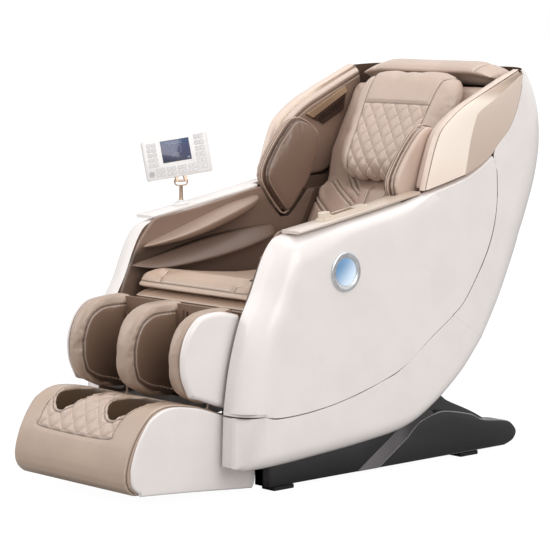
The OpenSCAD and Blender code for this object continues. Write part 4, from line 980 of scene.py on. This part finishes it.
PAD_SPACE = mm([(160, 960), (160, 800), (168, 772), (208, 720), (244, 684), (278, 684), (310, 712),
                (358, 762), (540, 762), (540, 960)])
LINER_SPACE = mm([(226, 960), (226, 795), (480, 798), (560, 880), (560, 960)])
SPACES = [(0.2563, 0.3003, PAD_SPACE), (0.3, 0.3303, LINER_SPACE)]
SPACE_X, SPACE_LOW, SPACE_FRONT, SPACE_REAR = 0.331, 0.66, 0.15, 0.56


def rounding(x0, x1, radius, n=10):
    """Steps from an inner face at x0 to an outer one at x1 with a rounded edge, as x and inset."""
    return [(x0, 0.0)] + [(x1 - radius * (1 - math.sin(a)), radius * (1 - math.cos(a)))
                          for a in [math.pi / 2 * k / n for k in range(n + 1)]]


def moulding(low, top, steps, weights=1.0, trim=0.0, pull=0.0, front=0.0, across=8, sign=1):
    """A closed moulding between a lower and an upper run drawn in y and z, from steps across x."""
    n = len(low)
    outline = inset(np.vstack([low, top[::-1]]), trim)
    unit = inset(outline, 1.0, weights) - outline
    if pull > 1:
        turn = np.clip((outline[:, :1] - front - 0.10) / 0.16, 0, 1)
        unit = unit * turn + np.array([[0, 1]]) * np.array(weights)[:, None] * (1 - turn)
        unit[n - 1] = unit[n - 2]
    rings = []
    for x, depth in steps:
        ring = outline + unit * depth
        near = np.maximum(0, 1 - (outline[:, 0] - front) / 0.26) ** 2
        if pull <= 1:
            near[n:] = 0
        ring[:, 0] += min(pull, 1.65) * depth * near
        rings.append((sign * x, ring))
    sections = []
    for k in range(n):
        below = [Vector((x, *ring[k])) for x, ring in rings]
        above = [Vector((x, *ring[2 * n - 1 - k])) for x, ring in reversed(rings)]
        between = [below[-1].lerp(above[0], t / across) for t in range(1, across)]
        sections.append(below + between + above)
    return loft(bmesh.new(), sections)


def cut_out(piece, outlines):
    """Takes prisms drawn in y and z, from x0 to x1, out of a piece."""
    for x0, x1, ring in outlines:
        bm = loft(bmesh.new(), [[(x, *q) for q in ring] for x in (x0, x1)])
        bmesh.ops.recalc_face_normals(bm, faces=bm.faces)
        cutter = drawn("cutter", bm)
        cut = piece.modifiers.new("cut", "BOOLEAN")
        cut.object, cut.operation, cut.solver = cutter, "DIFFERENCE", "EXACT"
        bake(piece)
        bpy.data.objects.remove(cutter)


def fit_panels():
    """The side panels, hollowed where the shoulder pads and the wing liners lie."""
    count = 72
    for side, sign in SIDES.items():
        low, top = even(SEAM, count), even(PANEL_TOP, count)
        soft_edge = np.interp(np.linspace(0, 1, count), *EDGE_SOFTNESS)
        weights = np.concatenate([np.zeros(count), soft_edge[::-1]])
        bm = moulding(low, top, rounding(PANEL_INNER, BODY_X, PANEL_ROUND), weights,
                      1.2 * SEAM_GAP, 1.0, SEAM[0][0], sign=sign)
        piece = put(f"side_panel_{side}_shell", bm, "cabin", WHITE,
                    [f"side_panel_{side}"], 30)
        piece.data.materials.append(INSIDE.material)
        cut_out(piece, [(sign * a, sign * b, ring) for a, b, ring in SPACES])
        for face in piece.data.polygons:
            x, y, z = face.center
            in_space = z > SPACE_LOW and SPACE_FRONT < y < SPACE_REAR
            if abs(x) < SPACE_X and (in_space or sign * face.normal.x < -0.5):
                face.material_index = 1
        bevelled(piece, 0.0012, 3, 40)


def line_arms():
    """The arms' linings with their lower flaps, and the upper flaps as pieces of their own."""
    count = 84
    steps = [(0.2680, 0.0), (0.2612, 0.0), (0.2596, 0.0005), (0.2587, 0.0016), (0.2583, 0.0034)]
    for side, sign in SIDES.items():
        bm = moulding(even(ARM_LINER_LOW, count), even(ARM_LINER_TOP, count), steps, across=56, sign=sign)
        piece = put(f"arm_liner_{side}_leather", bm, "cabin", LINER,
                    [f"arm_liner_{side}"], 40)
        cut_out(piece, [(sign * 0.25, sign * 0.28, PAD_SPACE)])
        bm = bmesh.new()
        bm.from_mesh(piece.data)
        leaf(bm, LOWER_LEAF, LOWER_SECTION, 0.2590, sign)
        bmesh.ops.recalc_face_normals(bm, faces=bm.faces)
        for face in bm.faces:
            face.smooth = True
        bm.to_mesh(piece.data)
        bm.free()
        sew(piece.data, shade_arm)
        piece = put(f"arm_flap_{side}_leather",
                    leaf(bmesh.new(), UPPER_LEAF, UPPER_SECTION, 0.2579, sign), "cabin", FLAP,
                    [f"arm_flap_{side}"], 50)
        sew(piece.data, shade_flap)


def shell_ring(back, rim, radius, wall):
    """Half a section of the rear shell, from its rim round its shoulder to its middle."""
    depth = np.linalg.norm(rim - back)
    way = (rim - back) / depth
    start = math.asin(max(0, radius - depth) / (radius - wall))
    turn = [start + (math.pi / 2 - start) * k / 12 for k in range(13)]
    shoulder = [(BODY_X - radius + (radius - wall) * math.cos(a), radius - (radius - wall) * math.sin(a))
                for a in turn]
    flank = [(shoulder[0][0], depth + (shoulder[0][1] - depth) * k / 4) for k in range(4)]
    steps = flank + shoulder + [(x, wall) for x in (0.20, 0.14, 0.07)]
    return [(x, *(back + way * s)) for x, s in steps]


def fit_rear_shell():
    """The shell round the back, whose edge grows rounder up to its shoulder."""
    stations = 64
    backs, rims = even(BACK_LINE, stations), even(RIM_LINE, stations)
    rings = []
    for k in range(stations):
        radius = SKIRT_ROUND + (SHELL_ROUND - SKIRT_ROUND) * min(1, k / (stations - 1) * 15 / 6)
        outer = shell_ring(backs[k], rims[k], radius, 0.0)
        inner = shell_ring(backs[k], rims[k], radius, WALL)
        rings.append(outer + mirrored(outer)[::-1] + mirrored(inner) + inner[::-1])
    half = len(rings[0]) // 2
    bm = loft(bmesh.new(), rings, tags=[0] * half + [1] * half)
    bmesh.ops.remove_doubles(bm, verts=bm.verts, dist=1e-5)
    piece = put("rear_shell_moulding", bm, "cabin", [WHITE, INSIDE], ["rear_shell"], 40)
    bevelled(piece, 0.0012, 3, 40)


def fit_skirts():
    """The rear shell goes on below each side panel, cut square to the shell's lower end."""
    count, filled = 60, 24
    for side, sign in SIDES.items():
        low, top = even(SKIRT_LOW, count), even(SKIRT_TOP, count)
        weights = np.concatenate([np.ones(count), np.zeros(count)])
        bm = moulding(low, top, rounding(0.306, BODY_X, SKIRT_ROUND, 8), weights, 0, 1.65,
                      SKIRT_LOW[0][0], sign=sign)
        way = Vector((0, RIM_LINE[0][1] - BACK_LINE[0][1], BACK_LINE[0][0] - RIM_LINE[0][0]))
        cut = bmesh.ops.bisect_plane(bm, geom=bm.verts[:] + bm.edges[:] + bm.faces[:],
                                     plane_co=(0, *BACK_LINE[0]), plane_no=way, clear_outer=True)
        bmesh.ops.holes_fill(bm, edges=[g for g in cut["geom_cut"] if isinstance(g, bmesh.types.BMEdge)])
        skirt = put(f"skirt_{side}", bm, "cabin", WHITE, angle=60)
        bevelled(skirt, 0.0008, 2, 50)
        bm = moulding(low[:filled], top[:filled], [(PANEL_INNER, 0.0015), (0.307, 0.0015)], sign=sign)
        put(f"skirt_filling_{side}", bm, "cabin", WHITE, angle=40)


WING_X, FACET_X, RIM_W = 0.330, 0.3648, 0.0052
WING_RIM = [(0.3530, 0), (0.3545, 0.0012), (0.3546, 0.0024), (0.3534, 0.0036), (0.3548, 0.0048),
            (0.3562, RIM_W)]


def fit_wings():
    """A lip with a dark groove round the front, a face that swells to the facet, and a flat panel."""
    count = 56
    rise = [(0.12, 0.30), (0.3, 0.55), (0.55, 0.78), (0.8, 0.93), (1.0, 1.0)]
    for side, sign in SIDES.items():
        edge = even(WING_EDGE, count)
        facet, rear = even(WING_FACET, count), even(WING_REAR, count)
        sections = []
        for k in range(count):
            e, f, r = edge[k], facet[k], rear[k]
            way = (f - e) / np.linalg.norm(f - e)
            e = e + way * SEAM_GAP
            ring = [(WING_X, *(e + way * 0.006)), (0.332, *(e + way * 0.002)), (0.335, *e)]
            ring += [(x, *(e + way * s)) for x, s in WING_RIM]
            start = e + way * RIM_W
            ring += [(0.3562 + 0.0080 * b, *(start + (f - start) * a)) for a, b in rise]
            ring += [(FACET_X, *(f + (r - f) * t)) for t in (0.25, 0.5, 0.75)]
            ring += [(0.3640, *r), (WING_X, *r)]
            sections.append([(sign * x, y, z) for x, y, z in ring])
        tags = [1] * 5 + [3] * 2 + [0] * 6 + [2] * 4 + [0] * 2  # lip, groove, face, panel, inner side
        bm = loft(bmesh.new(), sections, tags=tags)
        piece = put(f"wing_{side}_moulding", bm, "cabin", [CHAMPAGNE, IVORY, PANEL, INSIDE],
                    [f"wing_{side}"], 30)
        bevelled(piece, 0.0006, 2, 50)


LEG_X = 0.255
CALF_SHELL_FRONT = mm([(-552, 284), (-573, 330), (-579, 367), (-577, 404), (-564, 443), (-544, 472),
                       (-516, 495), (-475, 504), (-430, 504), (-378, 492)])
CALF_SHELL_REAR = mm([(-547, 280), (-514, 271), (-450, 248), (-392, 234), (-376, 250), (-370, 330),
                      (-369, 400), (-372, 484)])
FOOT_UNDER = mm([(-738, 40), (-549, 28), (-350, 12), (-330, 14), (-322, 40), (-322, 110),
                 (-324, 180), (-334, 198)])


def fit_leg_shells():
    """The white cheeks of the calf unit and of the foot unit."""
    count = 64
    cheek_front = [(y + (0.014 if y < -0.7 else 0.006), z + (0.004 if y < -0.7 else -0.007))
                   for y, z in FOOT_FRONT]
    cheek_low = [(y + (0.010 if y < -0.7 else 0), z) for y, z in FOOT_UNDER]
    for side, sign in SIDES.items():
        bm = moulding(even(CALF_SHELL_REAR, count), even(CALF_SHELL_FRONT, count),
                      rounding(0.240, LEG_X, 0.013, 8), sign=sign)
        put(f"calf_shell_{side}_moulding", bm, "calf_unit", WHITE,
            [f"calf_shell_{side}"], 40)
        bm = moulding(even(cheek_low, count), even(cheek_front, count),
                      rounding(0.249, LEG_X, 0.0055, 6), sign=sign)
        put(f"foot_cheek_{side}_moulding", bm, "foot_unit", WHITE,
            ["foot_cheeks"] if side == "left" else (), 40)


fit_panels()
line_arms()
fit_rear_shell()
fit_skirts()
fit_wings()
fit_leg_shells()


# ---- Base, lamp and remote ----

def rounded_rect(w, h, radius, n=5):
    """A rectangle's outline with rounded corners, round the origin."""
    return np.array([(sx * (w / 2 - radius) + radius * math.cos(a + k * math.pi / 2 / n),
                      sy * (h / 2 - radius) + radius * math.sin(a + k * math.pi / 2 / n))
                     for sx, sy, a in ((1, 1, 0), (-1, 1, math.pi / 2), (-1, -1, math.pi),
                                       (1, -1, 1.5 * math.pi)) for k in range(n + 1)])


def plate(bm, outline, steps, place, side=0, top=0):
    """A plate drawn up through its steps, as height and inset; side and top are its materials."""
    before = set(bm.faces)
    loft(bm, [[place(u, v, h) for u, v in inset(outline, depth)] for h, depth in steps])
    fresh = [face for face in bm.faces if face not in before]
    mark(bm, before, side)
    last = max(fresh, key=lambda face: (len(face.verts) == len(outline)) * (1 + fresh.index(face)))
    last.material_index = top
    return bm


BASE_REAR = [(112, 14), (231, 89), (256, 111), (286, 129), (338, 143), (389, 146), (493, 125),
             (546, 103), (644, 89), (676, 73), (692, 49), (677, 26), (641, 14)]
BASE_HUMP = [(250, 88), (330, 168), (391, 188), (429, 168), (511, 134), (558, 112), (600, 88)]
BASE_PLATES = [(0.060, [(-306, 14), (-306, 69), (49, 98), (198, 122), (24, 14)]), (0.060, BASE_REAR),
               (0.027, BASE_HUMP),
               (0.034, [(-306, 14), (-306, 60), (641, 60), (641, 14)]),
               (0.015, [(-10, 60), (20, 268), (34, 280), (54, 280), (68, 268), (100, 60)])]
BASE_X = 0.235
STRIPE = [(29, 14), (199, 122), (246, 150), (290, 160), (330, 152), (338, 143), (286, 129), (256, 111),
          (231, 89), (112, 14)]


def fit_base():
    """The black base sides from their plates, and the silver stripe up each."""
    stripes = bmesh.new()
    for side, sign in SIDES.items():
        bm = bmesh.new()
        place = lambda y, z, x: (sign * (BASE_X + x), y, z)
        for depth, points in BASE_PLATES:
            ring = mm(points)
            if points is BASE_REAR:
                ring = ring[:2] + [tuple(q) for q in curve(ring[1:], 6)[1:-1]] + ring[-1:]
            elif points is BASE_HUMP:
                ring = [tuple(q) for q in curve(ring, 5)]
            before = set(bm.faces)
            plate(bm, ring, [(0, 0), (depth - 0.0022, 0), (depth - 0.0006, 0.0007), (depth, 0.0024)],
                  place)
            if points is BASE_REAR:
                mark(bm, before, 1, lambda face: depth - 0.0024 < abs(face.calc_center_median().x)
                     - BASE_X < depth - 0.00001)
        plate(stripes, mm(STRIPE), [(0.052, 0), (0.0595, 0), (0.0602, 0.0008)], place)
        put(f"base_side_{side}_moulding", bm, "base", [BLACK, BASE_EDGE],
            [f"base_side_{side}"], 25)
    put("base_stripes", stripes, "base", SILVER, ["base_trims"], 25)


def fit_lamp():
    """The round side lamp: a chrome ring turned round a low glass dome."""
    bm = bmesh.new()
    profile = [(0.0545, 0.3651), (0.0550, 0.3668), (0.0547, 0.3692), (0.0532, 0.3708), (0.0505, 0.3713),
               (0.0455, 0.3709), (0.0415, 0.3694), (0.0400, 0.3678)]
    dome = [(0.0398, 0.3676), (0.0330, 0.3685), (0.0240, 0.3692), (0.0120, 0.3697), (0.0030, 0.3698)]
    for index, line in enumerate((profile, dome)):
        before = set(bm.faces)
        loft(bm, [[(x, LAMP_AT[0] + r * math.cos(a), LAMP_AT[1] + r * math.sin(a)) for a in turns(72)]
                  for r, x in line])
        mark(bm, before, index)
    put("side_lamp_ring", bm, "cabin", [CHROME, LENS], ["side_lamp"], 40)


REMOTE_W, REMOTE_H, REMOTE_T = 0.205, 0.118, 0.014
REMOTE_YAW = math.radians(70)
REMOTE_AT = (Matrix.Translation((-0.3103, -0.104, 0.80753)) @ Matrix.Rotation(REMOTE_YAW, 4, "Z")
             @ Matrix.Rotation(math.radians(-8), 4, "X"))


def key_layout():
    """Middles and sizes of the remote's flat keys."""
    keys = [(-0.0845 + 0.0155 * col, 0.0425 - 0.0145 * row, 0.0135, 0.0115)
            for col in (0, 1) for row in range(5)]
    keys += [(0.0655 + 0.0155 * col, 0.0485 - 0.0175 * row, 0.0135, 0.0135)
             for col in (0, 1) for row in range(6)]
    keys += [(u + 0.0145 * col, -0.0325 - 0.0135 * row, 0.0125, 0.0110)
             for u in (-0.0665, -0.0325, 0.0015, 0.0350) for col in (0, 1) for row in (0, 1)]
    return keys


def fit_remote():
    """The remote's case with its screen, keys, made-up lines and the lugs that it hangs by."""
    tilt = REMOTE_AT @ Matrix.Rotation(math.radians(-7.5), 4, "Y") @ Matrix.Translation((0, 0, 0.072))
    place = lambda u, v, h: tilt @ Vector((u, -h, v))
    half = REMOTE_T / 2
    bm = bmesh.new()
    plate(bm, rounded_rect(REMOTE_W, REMOTE_H, 0.008), [(-half, 0.0016), (-half + 0.0016, 0),
          (half - 0.0018, 0), (half - 0.0005, 0.0006), (half, 0.0020)], place)
    shift = lambda ring, u, v: ring + np.array([u, v])
    plate(bm, shift(rounded_rect(0.090, 0.064, 0.0008, 2), -0.002, 0.018),
          [(half - 0.001, 0), (half + 0.0004, 0), (half + 0.0006, 0.0004)], place, 1, 1)
    for u, v, w, h in key_layout():
        plate(bm, shift(rounded_rect(w, h, 0.0026, 3), u, v),
              [(half - 0.0005, 0), (half + 0.0005, 0.0001), (half + 0.0005, 0.0010)], place, 2, 3)
    ring = rounded_rect(0.0220, 0.0220, 0.01099, 8)
    plate(bm, shift(ring, -0.0875, -0.040), [(half - 0.0005, 0), (half + 0.0004, 0.0002),
                                             (half + 0.0004, 0.0010)], place, 2, 0)
    drawing = [[(0.009, 0.034), (0.015, 0.026), (0.013, 0.014), (0.004, 0.008), (-0.004, 0.011),
                (-0.016, 0.001)], [(-0.019, 0.026), (-0.016, 0.020), (-0.018, 0.014)],
               [(0.030, -0.008), (0.036, -0.004), (0.037, -0.008), (0.030, -0.008)]]
    drawing += [[(u, v), (u + 0.0055, v)] for v in (0.0425, 0.0385)
                for u in (-0.030, -0.022, -0.013, -0.004, 0.004, 0.013) if (u, v) != (-0.030, 0.0385)]
    for line in drawing:
        before = set(bm.faces)
        tube(bm, [place(u, v, half + 0.0006) for u, v in curve(line, 4)], 0.0009, 4, squash=0.5)
        mark(bm, before, 4)
    before = set(bm.faces)
    for x in (-0.0135, 0.0135):
        lug = [(-0.0016, -0.0030), (0.0016, -0.0030), (0.0058, 0.0140), (-0.0058, 0.0140)]
        loft(bm, [[REMOTE_AT @ Vector((x + u, y, v)) for u, v in lug] for y in (-0.0045, 0.0045)])
    tube(bm, [REMOTE_AT @ Vector((x, 0, 0)) for x in (-0.0195, 0.0195)], 0.003, 12)
    mark(bm, before, 5)
    put("remote_housing", bm, "remote", [REMOTE_WHITE, SCREEN, KEYS, KEY_FACE, LINES, GOLD],
        ["remote_case"], 35)


def fit_post():
    """The turned post of the remote with its bent fork."""
    post = Matrix.Translation(REMOTE_AT.to_translation()) @ Matrix.Rotation(REMOTE_YAW, 4, "Z")
    bm = bmesh.new()
    profile = [(0.0098, -0.0664), (0.0092, -0.0640), (0.0074, -0.0600), (0.0061, -0.0520),
               (0.0055, -0.0300), (0.0053, -0.0180), (0.0060, -0.0130)]
    loft(bm, [[post @ Vector((r * math.cos(a), r * math.sin(a), z)) for a in turns(24)]
              for r, z in profile])
    fork = [(-0.0200, 0.0035), (-0.0196, -0.0050), (-0.0150, -0.0115), (0, -0.0138), (0.0150, -0.0115),
            (0.0196, -0.0050), (0.0200, 0.0035)]
    tube(bm, [post @ Vector((u, 0, v)) for u, v in curve(fork, 5)], 0.0021, 10)
    put("remote_post_turned", bm, "remote_post", GOLD, ["remote_post"], 40)


fit_base()
fit_lamp()
fit_remote()
fit_post()


# ---- Rigid nodes ----

RIGID = [("cross_tubes", "base", FRAME_PAINT, "frame_steel", 0.0),
         ("feet", "base", RUBBER, "foot_rubber", 0.002),
         ("power_box", "base", BLACK, "base_plastic", 0.0015),
         ("power_switch", "switch", SWITCH, "switch_plastic", 0.0006),
         ("tilt_motor", "tilt_motor", MOTOR, "motor_housing", 0.001),
         ("tilt_rod", "tilt_rod", STEEL, "bright_steel", 0.0006),
         ("cabin_frame", "cabin", FRAME_PAINT, "frame_steel", 0.0008),
         ("seat_board", "cabin", BOARD, "board_wood", 0.0008),
         ("leg_motor", "cabin", MOTOR, "motor_housing", 0.001),
         ("carriage", "carriage", FRAME_PAINT, "frame_steel", 0.001),
         ("knead_shaft", "knead_shaft", STEEL, "bright_steel", 0.0005),
         ("control_bar", "cabin", CONSOLE, "console_gold", 0.0012),
         ("dial", "dial", CONSOLE, "console_gold", 0.0010),
         ("rocker_key", "rocker_key", BRONZE, "key_bronze", 0.0006),
         ("remote_foot", "cabin", REMOTE_WHITE, "remote_white", 0.0008),
         ("remote_key", "remote_key", KEYS, "remote_silver", 0.0005)]
BEZEL_FRAME = mm([(380, 985), (546, 1070), (558, 1049), (410, 971)])
BEZEL_X = 0.2935
CORE_FRONT, CORE_FACE = -0.42, -0.394  # the solid's front, and where the leather between the pads lies


def dress_rigid():
    """The pieces that keep their CAD shape, and the calf core that is set back to its leather."""
    for side, sign in SIDES.items():
        # The far cap takes the paler copy of the cap lacquer, painted light.
        dress(f"arm_cap_{side}", "cabin", CAP if sign > 0 else CAP_FAR, "champagne_shell", 0.0008)
        dress(f"roller_arm_{side}", f"rocker_{side}", FRAME_PAINT, "frame_steel", 0.001)
        for row in ("upper", "lower"):
            dress(f"roller_{row}_{side}", f"roller_{row}_{side}", ROLLER, "roller_plastic", 0.001)
    for row in RIGID:
        dress(*row)
    # The set-back core wears the channel leather, its painted shade darkening downwards.
    core = merged("calf_core")
    for v in core.verts:
        if v.co.y < CORE_FRONT:
            v.co.y = CORE_FACE
    bevelled(put("calf_core_channel", core, "calf_unit", CHANNEL, ["calf_core"]), 0.002)
    speakers = dress("speakers", "cabin", [GRILLE, BEZEL], "speaker_grille", 0.0005)
    for face in speakers.data.polygons:
        if inside(np.array([face.center[1:]]), BEZEL_FRAME)[0] or abs(face.center.x) < BEZEL_X:
            face.material_index = 1
    dress("sole_rollers", "sole_rollers", ROLLER, "roller_plastic", 0.0008)


dress_rigid()


# ---- Floor and light ----

SKY, BACKDROP = 0.85, 1.0  # light from all round, and what the camera sees of it
LAMPS = [("key", (-2.6, -3.4, 3.0), (0, 0, 0.7), (3.6, 2.8), 48),
         ("front", (0.6, -4.6, 2.8), (0, 0, 0.8), (4.0, 3.2), 10),
         ("side", (4.6, -0.4, 3.0), (0, 0.1, 0.7), (3.2, 3.0), 74),
         ("top", (0.6, 0.6, 4.2), (0, 0, 0.6), (3.4, 3.4), 48)]


def light_room():
    """An even pale sky and four soft lamps."""
    world = bpy.data.worlds.new("studio")
    scene.world = world
    world.use_nodes = True
    nodes, links = world.node_tree.nodes, world.node_tree.links
    back = nodes["Background"]
    back.inputs[0].default_value = (1, 1, 1, 1)
    path = nodes.new("ShaderNodeLightPath")
    seen = nodes.new("ShaderNodeMath")
    seen.operation, seen.use_clamp = "ADD", True
    links.new(path.outputs["Is Camera Ray"], seen.inputs[0])
    links.new(path.outputs["Is Transmission Ray"], seen.inputs[1])
    level = nodes.new("ShaderNodeMix")
    level.inputs[2].default_value, level.inputs[3].default_value = SKY, BACKDROP
    links.new(seen.outputs[0], level.inputs[0])
    links.new(level.outputs[0], back.inputs[1])
    for name, place, at, size, power in LAMPS:
        data = bpy.data.lights.new(name, "AREA")
        data.shape, data.size, data.size_y, data.energy = "RECTANGLE", *size, power
        lamp = linked(name, data)
        lamp.location = place
        lamp.rotation_euler = (Vector(at) - Vector(place)).to_track_quat("-Z", "Y").to_euler()


def lay_floor():
    """A pale floor that glows for the camera alone, so that it stays white round the shadow."""
    bm = bmesh.new()
    bmesh.ops.create_grid(bm, x_segments=1, y_segments=1, size=40)
    f = Finish("pale_floor", Roughness=0.9)
    cloud = f.noise(0.8, 3)
    f.feed(Base_Color=f.mix(cloud, paint("a3a2a1"), paint("acabaa")))
    path = f.node("LightPath", out=0)
    glow = f.node("Emission", {}, {"Color": (1, 1, 1, 1), "Strength": 1.3})
    shader = Value(f, f.shader.outputs[0])
    both = f.node("MixShader", {}, {0: path * 0.75, 1: shader, 2: glow})
    f.tree.links.new(both.socket, f.tree.nodes["Material Output"].inputs[0])
    drawn("floor", bm, f)


light_room()
lay_floor()
